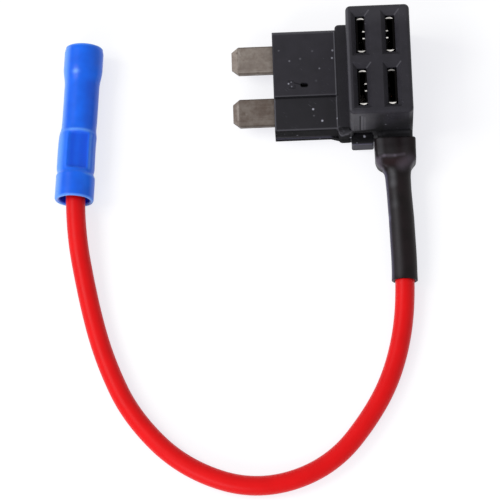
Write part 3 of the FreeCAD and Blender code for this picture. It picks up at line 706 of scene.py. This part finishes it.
blueSleeve = sleeveFinish({
    "roughness": 0.34,
    "roughSpread": 0.25,
    "shader": {
        "Specular IOR Level": 0.26,
        "Sheen Weight": 0.30,
        "Sheen Roughness": 0.35,
        "Sheen Tint": (0.65, 0.88, 1.0, 1.0),
        "Subsurface Weight": 0.12,
        "Subsurface Radius": (0.3, 0.5, 1.0),
        "Subsurface Scale": 0.0006,
    },
    "grain": {"Fine Scale": 3600.0, "Slow Scale": 260.0, "Slow Share": 0.65},
    "grainHeight": 0.000012,
    "specks": {"Scale": 380.0, "Size": 0.08, "Share": 0.05},
    "speckShare": 0.3,
    "deep": paint(4, 93, 220),
    "bright": paint(9, 106, 238),
    "speckTint": paint(120, 170, 255),
    # colours of the painted shade, the painted light and the painted shade in the bore
    "paintedShade": paint(2, 78, 212),
    "paintedLight": paint(120, 182, 255),
    "bore": paint(12, 44, 240),
})
print("finishes made")


def wear(piece, finish):
    piece.data.materials.clear()
    piece.data.materials.append(finish)


finishOfNode = {
    "housing": housingNylon,
    "rear_cover": coverNylon,
    "feed_blade": feedPlating,
    "load_blade": loadPlating,
    "twin_contact": twinTin,
    "load_contact": loadTin,
    "wire_terminal": terminalTin,
    "feed_rivet": rivetBrass,
    "load_rivet": rivetBrass,
    "splice_barrel": barrelTin,
}
for nodeName, finish in finishOfNode.items():
    wear(cadNodes[nodeName], finish)
print("finishes put on", len(finishOfNode), "nodes")


# camera
cameraSet = {
    "place": (-0.003886, -0.213570, 0.560304),
    "target": (-0.015909, -0.028519, 0.0),
    "roll": 5.731,  # degrees
    "lens": 248.88,
    "sensor": 36.0,
    "shift": (0.00035, -0.00075),
    "clip": (0.01, 20.0),
}


def makeCamera(setting):
    data = bpy.data.cameras.new("photoCamera")
    data.lens = setting["lens"]
    data.sensor_width = setting["sensor"]
    data.shift_x, data.shift_y = setting["shift"]
    data.clip_start, data.clip_end = setting["clip"]
    camera = addObject("photoCamera", data)
    place = Vector(setting["place"])
    aim = (Vector(setting["target"]) - place).to_track_quat("-Z", "Y").to_matrix()
    turned = aim @ Matrix.Rotation(-math.radians(setting["roll"]), 3, "Z")
    camera.matrix_world = Matrix.Translation(place) @ turned.to_4x4()
    scene.camera = camera
    return camera


photoCamera = makeCamera(cameraSet)
print("camera made, right axis", [round(x, 4) for x in photoCamera.matrix_world.to_3x3().col[0]])


# lead
def inMillimetres(points):
    return [Vector(point) * 0.001 for point in points]


splice = {
    "mouth": Vector((-0.04553, -0.01965, 0.00335)),
    "turn": math.radians(-4.47),
    "length": 0.0277,
}
spliceAlong = Vector((-math.sin(splice["turn"]), math.cos(splice["turn"]), 0.0))


def onSplice(distance):
    return splice["mouth"] + spliceAlong * distance


lead = {
    "diameter": 0.0033,
    "length": 0.1477,
    "exit": (0.009675, -0.0142, 0.0031),
    "route": inMillimetres([
        (9.675, -6.605, 3.1), (9.92, -22.2, 3.1), (10.45, -38.0, 2.1), (8.7, -48.8, 1.66), (4.7, -57.9, 1.66),
        (-3.5, -67.9, 1.66), (-16.0, -71.5, 1.66), (-28.1, -67.0, 1.66), (-36.5, -58.0, 1.66),
        (-40.8, -48.2, 1.66), (-43.4, -38.0, 1.66),
    ]) + [onSplice(-0.0032), onSplice(0.0056)],
}


def makeLead(setting):
    data = bpy.data.curves.new("wire", "CURVE")
    data.dimensions = "3D"
    spline = data.splines.new("NURBS")
    spline.points.add(len(setting["route"]) - 1)
    for point, place in zip(spline.points, setting["route"]):
        point.co = (*place, 1.0)
    spline.order_u = 3
    spline.use_endpoint_u = True
    spline.resolution_u = 16
    data.bevel_depth = setting["diameter"] / 2
    data.bevel_resolution = 8
    data.use_fill_caps = True
    data.materials.append(redInsulation)
    return addObject("lead", data)


wire = makeLead(lead)


def leadLine():
    # points down the middle of the lead, from its spline with no bevel
    bare = bpy.data.objects.new("bareLead", wire.data.copy())
    bare.data.bevel_depth = 0.0
    mesh = bpy.data.meshes.new_from_object(bare)
    points = [vertex.co.copy() for vertex in mesh.vertices]
    bpy.data.meshes.remove(mesh)
    bpy.data.curves.remove(bare.data)
    return points


leadPoints = leadLine()
leadRuns = [0.0]
for before, after in zip(leadPoints[:-1], leadPoints[1:]):
    leadRuns.append(leadRuns[-1] + (after - before).length)
print("lead: %d points, %.1f mm" % (len(leadPoints), leadRuns[-1] * 1000))


# meshes made of rings
def meshFromRings(name, rings, finish):
    # rings of equal count, each joined to the next and the last to the first
    data = bpy.data.meshes.new(name)
    form = bmesh.new()
    rows = [[form.verts.new(point) for point in ring] for ring in rings]
    count = len(rings[0])
    for row, following in zip(rows, rows[1:] + rows[:1]):
        for i in range(count):
            form.faces.new((row[i], row[(i + 1) % count], following[(i + 1) % count], following[i]))
    bmesh.ops.recalc_face_normals(form, faces=form.faces)
    for face in form.faces:
        face.smooth = True
    form.to_mesh(data)
    form.free()
    piece = addObject(name, data)
    wear(piece, finish)
    return piece


def anglesOf(segments):
    return [2 * math.pi * i / segments for i in range(segments)]


def profileAt(stations, where):
    # value at one place on a list of (place, value), eased between neighbours without overshoot
    for (placeA, valueA), (placeB, valueB) in zip(stations[:-1], stations[1:]):
        if where <= placeB:
            return mix(valueA, valueB, smooth(placeA, placeB, where))
    return stations[-1][1]


# butt splice
sleeve = {
    "segments": 112,
    "roll": math.radians(-9),  # how far the crimp sits turned about the sleeve's length
    # distance from the lead's mouth and outer radius, metres
    "outer": [(0.0, 0.00322), (0.0003, 0.00335), (0.0041, 0.00334), (0.0048, 0.00311), (0.0056, 0.00318),
              (0.0114, 0.00315), (0.0130, 0.00300), (0.0208, 0.00300), (0.0240, 0.00335), (0.0268, 0.00335),
              (0.0277, 0.00320)],
    "inner": [(0.0, 0.00285), (0.0003, 0.00262), (0.0029, 0.00260), (0.0051, 0.00172), (0.0059, 0.00172),
              (0.00595, 0.00205), (0.0217, 0.00205), (0.0219, 0.00205), (0.0248, 0.00258), (0.0273, 0.00262),
              (0.0277, 0.00285)],
    "lean": [(0.0036, -0.00006), (0.0052, -0.00015), (0.0092, -0.00018), (0.0150, 0.00001), (0.0277, -0.00001)],
    "outerSpacing": 0.0002,
    "innerSpacing": 0.0005,
    # crimped panel: where the die came down, its height, hollow and soft border, and the wings beside it
    "dieStart": 0.0049,
    "dieEnd": 0.0119,
    "dieEase": 0.0006,
    "dieHeight": 0.00258,
    "dieHollow": 0.00016,
    "dieBorder": (-0.00002, 0.00006),
    "wings": 0.00008,
    "wingEase": (0.0047, 0.0060, 0.0110, 0.0132),
    # painted shade and painted light, as shares; a bell has its middle and width in metres
    "rimWidth": 0.0004,
    "rimTone": 0.6,
    "boreTone": 0.9,
    # painted light on the left flank, then painted shade on the right flank and where along it
    "litFlank": (-0.0018, -0.0029, 0.50),
    "darkFlank": (0.0002, 0.0016, 0.40),
    "darkAlong": (0.0044, 0.0054, 0.0205, 0.0225),
    "pressedReach": (0.00022, 0.00050),  # right and left of the middle
    "paleMiddle": {"middle": -0.0001, "width": 0.0006, "share": 0.4},
    "panelEdge": {"middle": 0.00030, "width": 0.00022, "right": 0.42, "left": 0.08, "above": 0.0014},
    "wingEdge": {"middle": 0.00274, "width": 0.00012, "share": 0.20},
    "panelEnd": {"middle": 0.0001, "width": 0.00024, "share": 0.55, "rise": (0.0, 0.0012),
                 "fade": (0.0014, 0.0028), "faded": 0.7},
    "collarEdge": {"middle": 0.0041, "width": 0.00020, "share": 0.35, "rise": (0.0006, 0.0022)},
    # a painted highlight spot on the flare
    "glint": {"across": (-0.00095, 0.00058), "along": (0.02262, 0.00036), "share": 0.55},
}


def dieAt(where):
    # how far the die came down at this distance, 0 to 1
    into = smooth(sleeve["dieStart"], sleeve["dieStart"] + sleeve["dieEase"], where)
    return into * (1 - smooth(sleeve["dieEnd"] - sleeve["dieEase"], sleeve["dieEnd"], where))


def sleeveTones(across, up, halfPanel, where, place):
    # how much painted shade and painted light the sleeve gets: across and up before the die, place after it
    die = dieAt(where)
    right = across > 0
    paintedShade = die * smooth(0.0, sleeve["pressedReach"][0 if right else 1], abs(up) - sleeve["dieHeight"])
    pale = sleeve["paleMiddle"]
    paintedShade *= 1 - pale["share"] * bell(across, pale["middle"], pale["width"])
    # painted shade on the right flank
    start, end, share = sleeve["darkFlank"]
    in0, in1, out0, out1 = sleeve["darkAlong"]
    dark = smooth(start, end, place[0]) * share * smooth(in0, in1, where) * (1 - smooth(out0, out1, where))
    line = sleeve["panelEdge"]
    edge = bell(abs(across) - halfPanel, line["middle"], line["width"]) * die if abs(up) > line["above"] else 0.0
    edge *= line["right"] if right else line["left"]
    start, end, share = sleeve["litFlank"]
    litSide = smooth(-start, -end, -place[0]) * share
    line = sleeve["wingEdge"]
    wing = bell(across, line["middle"], line["width"]) * die * line["share"] if up > 0 else 0.0
    line = sleeve["panelEnd"]
    ends = bell(where - sleeve["dieEnd"], line["middle"], line["width"]) * line["share"]
    ends *= smooth(*line["rise"], abs(up))
    ends *= 1 - line["faded"] * smooth(*line["fade"], abs(across))
    line = sleeve["collarEdge"]
    ends += bell(where, line["middle"], line["width"]) * line["share"] * smooth(*line["rise"], across)
    glint = sleeve["glint"]
    spot = bell(place[0], *glint["across"]) * bell(where, *glint["along"]) * glint["share"]
    spot = spot if place[1] > 0 else 0.0
    return max(paintedShade, dark), min(1.0, max(edge, litSide) + wing + ends + spot)


def pressedPoint(radius, angle, where):
    # round section with a hollow panel pressed into its top and underside, and the painted shade and light there
    turn = sleeve["roll"]
    angle -= turn
    across = radius * math.cos(angle)
    up = radius * math.sin(angle)
    level = sleeve["dieHeight"]
    halfPanel = math.sqrt(radius ** 2 - level ** 2)
    share = min(1.0, abs(across) / halfPanel)
    flat = level - sleeve["dieHollow"] * (1 - share ** 4)
    height = mix(abs(up), flat, dieAt(where) * smooth(*sleeve["dieBorder"], abs(up) - level))
    swell, swollen, ebb, ebbed = sleeve["wingEase"]
    wings = smooth(swell, swollen, where) * (1 - smooth(ebb, ebbed, where))
    wide = across + math.copysign(sleeve["wings"] * wings * max(0.0, math.cos(2 * angle)), across)
    high = math.copysign(height, up)
    lean = profileAt(sleeve["lean"], where)
    place = (wide * math.cos(turn) - high * math.sin(turn) + lean,
             wide * math.sin(turn) + high * math.cos(turn))
    return place, sleeveTones(across, up, halfPanel, where, place)


def rimAt(where):
    # 1 at both ends of the sleeve, 0 a little way in
    width = sleeve["rimWidth"]
    return max(1 - smooth(0.0, width, where), smooth(splice["length"] - width, splice["length"], where))


def sleeveSteps(stations, spacing):
    # even distances along the sleeve, and those of its stations
    count = int(splice["length"] / spacing) + 1
    return sorted({round(step * spacing, 6) for step in range(count)} | {station[0] for station in stations})


def makeSleeve():
    side = Vector((spliceAlong.y, -spliceAlong.x, 0.0))
    rise = Vector((0.0, 0.0, 1.0))
    angles = anglesOf(sleeve["segments"])
    rings = []
    tones = []
    for where in sleeveSteps(sleeve["outer"], sleeve["outerSpacing"]):
        radius = profileAt(sleeve["outer"], where)
        ring = []
        for angle in angles:
            (across, up), (paintedShade, paintedLight) = pressedPoint(radius, angle, where)
            ring.append(onSplice(where) + side * across + rise * up)
            # painted light on the rims
            tones.append((paintedShade, max(paintedLight, rimAt(where) * sleeve["rimTone"]), 0.0, 1.0))
        rings.append(ring)
    for where in reversed(sleeveSteps(sleeve["inner"], sleeve["innerSpacing"])):
        radius = profileAt(sleeve["inner"], where)
        rings.append([onSplice(where) + side * radius * math.cos(angle) + rise * radius * math.sin(angle)
                      for angle in angles])
        rim = rimAt(where)
        # painted shade inside the bore, painted light on its rims
        tones += [(0.0, rim * sleeve["rimTone"], (1 - rim) * sleeve["boreTone"], 1.0)] * len(angles)
    piece = meshFromRings("spliceSleeve", rings, blueSleeve)
    layer = piece.data.color_attributes.new("tones", "FLOAT_COLOR", "POINT")
    for spot, tone in zip(layer.data, tones):
        spot.color = tone
    return piece


spliceSleeve = makeSleeve()
print("splice sleeve made")


# heat-shrink sleeve
shrink = {
    "segments": 96,
    "startY": -0.0112,
    "endY": -0.03582,
    "wall": 0.0005,
    "spacing": 0.00025,
    "rim": 0.0001,  # how far the rim is rounded
    "rimLength": 0.00008,
    "slack": 0.00001,
    "power": (2.0, 7.0),  # of the section, round and with sharp corners
    # how far towards -Y, then reach to the left and right, half height and corner share (1 sharp, 0 round)
    "stations": [
        (-0.01120, 0.00366, 0.00346, 0.00280, 1.0), (-0.01380, 0.00361, 0.00343, 0.00280, 1.0),
        (-0.01445, 0.00360, 0.00341, 0.00276, 0.95), (-0.01480, 0.00360, 0.00330, 0.00250, 0.85),
        (-0.01515, 0.00355, 0.00310, 0.00234, 0.7), (-0.01550, 0.00341, 0.00280, 0.00227, 0.55),
        (-0.01582, 0.00315, 0.00260, 0.00223, 0.4), (-0.01620, 0.00262, 0.00240, 0.00219, 0.2),
        (-0.01685, 0.00233, 0.00224, 0.00216, 0.08), (-0.01750, 0.00224, 0.00217, 0.00214, 0.0),
        (-0.02000, 0.00214, 0.00213, 0.00213, 0.0), (-0.02500, 0.00209, 0.00226, 0.00213, 0.0),
        (-0.03000, 0.00214, 0.00222, 0.00213, 0.0), (-0.03450, 0.00219, 0.00217, 0.00213, 0.0),
        (-0.03582, 0.00223, 0.00221, 0.00220, 0.0),
    ],
    "axisUntil": -0.0143,
    "lineFrom": -0.0152,
}


def leadAt(y):
    # the lead's middle and heading where it passes this Y on its way out of the tap
    for before, after in zip(leadPoints[:-1], leadPoints[1:]):
        if after.y <= y <= before.y:
            share = (before.y - y) / max(1e-9, before.y - after.y)
            return before.lerp(after, share), (after - before).normalized()
    return leadPoints[0].copy(), Vector((0.0, -1.0, 0.0))


def sectionPoint(halfX, halfZ, square, angle):
    # from an ellipse to a rounded rectangle
    power = mix(*shrink["power"], square)
    across = math.cos(angle)
    up = math.sin(angle)
    length = (abs(across) ** power + abs(up) ** power) ** (-1 / power)
    return halfX * across * length, halfZ * up * length


def stationAt(y):
    # reach to the left and right, half height and corner share at this Y
    rows = shrink["stations"]
    for first, second in zip(rows[:-1], rows[1:]):
        if y >= second[0]:
            share = (first[0] - y) / (first[0] - second[0])
            return [mix(first[k], second[k], share) for k in (1, 2, 3, 4)]
    return rows[-1][1:]


def shrinkRing(y, inset):
    leftX, rightX, halfZ, square = stationAt(y)
    onAxis = Vector((lead["exit"][0], y, lead["exit"][2]))
    onLine, heading = leadAt(y)
    follow = smooth(-shrink["axisUntil"], -shrink["lineFrom"], -y)
    middle = onAxis.lerp(onLine, follow)
    along = Vector((0.0, -1.0, 0.0)).lerp(heading, follow).normalized()
    side = along.cross(Vector((0.0, 0.0, 1.0))).normalized()
    rise = side.cross(along).normalized()
    ring = []
    for angle in anglesOf(shrink["segments"]):
        halfX = rightX if math.cos(angle) > 0 else leftX
        across, up = sectionPoint(halfX - inset, halfZ - inset, square, angle)
        ring.append(middle - side * across + rise * up)
    return ring


def makeShrink():
    start, end, wall, rim = (shrink[key] for key in ("startY", "endY", "wall", "rim"))
    count = int((start - end) / shrink["spacing"]) + 1
    steps = [start - shrink["spacing"] * step for step in range(count)] + [end]
    rings = [shrinkRing(start, rim)]
    rings += [shrinkRing(y, 0.0) for y in steps]
    rings += [shrinkRing(end - shrink["rimLength"], inset) for inset in (rim, wall - rim)]
    rings += [shrinkRing(y, wall - shrink["slack"]) for y in reversed(steps)]
    return meshFromRings("shrinkSleeve", rings, shrinkTube)


shrinkSleeve = makeShrink()
print("heat-shrink sleeve made")


# copper strands
def strandTree(name):
    # a bundle of twisted strands round an axis: one strand's curve, a tube round it, repeated about the middle
    tree = bpy.data.node_groups.new(name, "GeometryNodeTree")
    tree.interface.new_socket(name="Geometry", in_out="INPUT", socket_type="NodeSocketGeometry")
    wanted = [("Length", "NodeSocketFloat", 0.004), ("Strand Radius", "NodeSocketFloat", 0.00015),
              ("Ring Radius", "NodeSocketFloat", 0.0005), ("Strands", "NodeSocketInt", 8),
              ("Turns", "NodeSocketFloat", 0.6), ("Finish", "NodeSocketMaterial", None)]
    for label, kind, value in wanted:
        socket = tree.interface.new_socket(name=label, in_out="INPUT", socket_type=kind)
        if value is not None:
            socket.default_value = value
    tree.interface.new_socket(name="Geometry", in_out="OUTPUT", socket_type="NodeSocketGeometry")
    given = tree.nodes.new("NodeGroupInput").outputs
    made = tree.nodes.new("NodeGroupOutput").inputs
    line = addNode(tree, "GeometryNodeMeshLine", {"Count": 13}, mode="END_POINTS")
    end = addNode(tree, "ShaderNodeCombineXYZ", {"X": 0.0, "Y": 0.0, "Z": given["Length"]})
    feed(tree, line.inputs["Offset"], end.outputs[0])
    curve = addNode(tree, "GeometryNodeMeshToCurve", {"Mesh": line.outputs[0]})
    along = axesOf(tree, tree.nodes.new("GeometryNodeInputPosition").outputs[0])["Z"]
    share = calculate(tree, "DIVIDE", along, given["Length"])
    angle = times(tree, share, given["Turns"], 2 * math.pi)
    across = times(tree, calculate(tree, "COSINE", angle), given["Ring Radius"])
    up = times(tree, calculate(tree, "SINE", angle), given["Ring Radius"])
    moved = addNode(tree, "ShaderNodeCombineXYZ", {"X": across, "Y": up, "Z": along})
    wound = addNode(tree, "GeometryNodeSetPosition",
                    {"Geometry": curve.outputs[0], "Position": moved.outputs[0]})
    section = addNode(tree, "GeometryNodeCurvePrimitiveCircle",
                      {"Resolution": 10, "Radius": given["Strand Radius"]})
    tube = addNode(tree, "GeometryNodeCurveToMesh",
                   {"Curve": wound.outputs[0], "Profile Curve": section.outputs[0], "Fill Caps": True})
    spots = addNode(tree, "GeometryNodePoints", {"Count": given["Strands"]})
    placed = addNode(tree, "GeometryNodeInstanceOnPoints",
                     {"Points": spots.outputs[0], "Instance": tube.outputs[0]})
    index = tree.nodes.new("GeometryNodeInputIndex").outputs[0]
    turn = times(tree, calculate(tree, "DIVIDE", index, given["Strands"]), 2 * math.pi)
    rotation = addNode(tree, "ShaderNodeCombineXYZ", {"X": 0.0, "Y": 0.0, "Z": turn})
    feed(tree, placed.inputs["Rotation"], rotation.outputs[0])
    real = addNode(tree, "GeometryNodeRealizeInstances", {"Geometry": placed.outputs[0]})
    smoothed = addNode(tree, "GeometryNodeSetShadeSmooth", {"Geometry": real.outputs[0]})
    finished = addNode(tree, "GeometryNodeSetMaterial",
                       {"Geometry": smoothed.outputs[0], "Material": given["Finish"]})
    feed(tree, made["Geometry"], finished.outputs[0])
    return tree


strandsTree = strandTree("twistedStrands")


def bakeNodes(name, tree, values):
    # one object with the tree on it, its inputs set by identifier, turned into a plain mesh
    holder = addObject(name, bpy.data.meshes.new(name))
    modifier = holder.modifiers.new(name, "NODES")
    modifier.node_group = tree
    for item in tree.interface.items_tree:
        if item.in_out == "INPUT" and item.name in values:
            modifier[item.identifier] = values[item.name]
    bpy.context.view_layer.update()
    evaluated = holder.evaluated_get(bpy.context.evaluated_depsgraph_get())
    mesh = bpy.data.meshes.new_from_object(evaluated)
    holder.modifiers.remove(modifier)
    holder.data = mesh
    return holder


strandSet = {
    "radius": 0.000138,
    "rings": [(1, 0.0, 0.0), (6, 0.000285, 0.7), (12, 0.000565, 0.7)],  # strands, ring radius, turns
    "turnLength": 0.008,  # the length in which a ring makes its turns
    "terminal": (Vector((0.009675, -0.0066, 0.0031)), Vector((0.009675, -0.0029, 0.0031))),
    "splice": (onSplice(0.0056), onSplice(0.0130)),
}


def makeStrands(name, start, end):
    # three rings of strands in one piece, laid along the line from start to end
    length = (end - start).length
    parts = []
    for count, ringRadius, turns in strandSet["rings"]:
        parts.append(bakeNodes("%s_%d" % (name, count), strandsTree, {
            "Length": length, "Strand Radius": strandSet["radius"], "Ring Radius": ringRadius,
            "Strands": count, "Turns": turns * length / strandSet["turnLength"], "Finish": strandCopper}))
    form = bmesh.new()
    for part in parts:
        form.from_mesh(part.data)
    bmesh.ops.recalc_face_normals(form, faces=form.faces)
    form.transform(Matrix.Translation(start) @ (end - start).to_track_quat("Z", "Y").to_matrix().to_4x4())
    data = bpy.data.meshes.new(name)
    form.to_mesh(data)
    form.free()
    for part in parts:
        bpy.data.objects.remove(part)
    data.materials.append(strandCopper)
    return addObject(name, data)


terminalStrands = makeStrands("terminalStrands", *strandSet["terminal"])
spliceStrands = makeStrands("spliceStrands", *strandSet["splice"])
print("strands made")


# floor, world and lights
floorSet = {
    "size": 4.0,
    "bounce": (0.80, 0.80, 0.80, 1.0),  # what throws light back up on the object
    "seen": (0.38, 0.38, 0.33, 1.0),  # the lit share of what is seen, kept low so that the shadow is faint
    "seenExtra": (0.69, 0.69, 0.74, 1.0),  # and the rest of it, so that the open floor is white
}


def seenRays(tree):
    # 1 for camera, glossy and transmission rays, 0 for the rays that light other things
    rays = tree.nodes.new("ShaderNodeLightPath").outputs
    either = calculate(tree, "MAXIMUM", rays["Is Camera Ray"], rays["Is Glossy Ray"])
    return calculate(tree, "MAXIMUM", either, rays["Is Transmission Ray"])


def makeFloor(setting):
    half = setting["size"] / 2
    data = bpy.data.meshes.new("floor")
    corners = [(-half, -half, 0), (half, -half, 0), (half, half, 0), (-half, half, 0)]
    data.from_pydata(corners, [], [(0, 1, 2, 3)])
    finish = bpy.data.materials.new("paleFloor")
    finish.use_nodes = True
    tree = finish.node_tree
    tree.nodes.clear()
    seen = seenRays(tree)
    lit = addNode(tree, "ShaderNodeBsdfDiffuse",
                  {"Color": blendColours(tree, seen, setting["bounce"], setting["seen"])})
    glow = addNode(tree, "ShaderNodeEmission", {"Color": setting["seenExtra"], "Strength": seen})
    both = addNode(tree, "ShaderNodeAddShader", {0: lit.outputs[0], 1: glow.outputs[0]})
    addNode(tree, "ShaderNodeOutputMaterial", {"Surface": both.outputs[0]})
    data.materials.append(finish)
    addObject("floor", data)


makeFloor(floorSet)

worldSet = {
    "ambient": 0.56,
    "tint": (0.97, 0.98, 1.0, 1.0),
    "shown": (1.0, 1.0, 1.0, 1.0),
}


def makeWorld(setting):
    world = bpy.data.worlds.new("studio")
    world.use_nodes = True
    tree = world.node_tree
    tree.nodes.clear()
    seen = seenRays(tree)
    strength = addNode(tree, "ShaderNodeMix", {0: seen, 2: setting["ambient"], 3: 1.0})
    colour = blendColours(tree, seen, setting["tint"], setting["shown"])
    back = addNode(tree, "ShaderNodeBackground", {"Color": colour, "Strength": strength.outputs[0]})
    addNode(tree, "ShaderNodeOutputWorld", {"Surface": back.outputs[0]})
    scene.world = world


makeWorld(worldSet)

lamps = [
    # name, place, aim, side of the square in metres, watts, colour
    ("keyLamp", (-0.46, 0.02, 0.50), (-0.01, -0.03, 0.0), 0.30, 1.85, (0.97, 0.97, 1.0)),
    ("sideLamp", (-0.32, -0.52, 0.32), (-0.01, -0.03, 0.005), 0.30, 1.75, (0.88, 0.87, 1.0)),
]


def makeLamp(name, place, aim, side, watts, colour):
    data = bpy.data.lights.new(name, "AREA")
    data.shape = "SQUARE"
    data.size = side
    data.energy = watts
    data.color = colour
    lamp = addObject(name, data)
    lamp.location = place
    lamp.rotation_mode = "QUATERNION"
    lamp.rotation_quaternion = (Vector(aim) - Vector(place)).to_track_quat("-Z", "Y")


for lamp in lamps:
    makeLamp(*lamp)
scene.view_settings.view_transform = "Standard"
print("floor, world and lamps made")


# what rides on what
slotOfPiece = [
    (wire, "red_insulation", "wire"),
    (shrinkSleeve, "shrink_tube", "heat_shrink"),
    (spliceSleeve, "blue_sleeve", "splice_sleeve"),
    (terminalStrands, "copper", "terminal_strands"),
    (spliceStrands, "copper", "splice_strands"),
]
for piece, slotName, nodeName in slotOfPiece:
    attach(piece, "root")
    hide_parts(nodeName)
print("pieces placed")
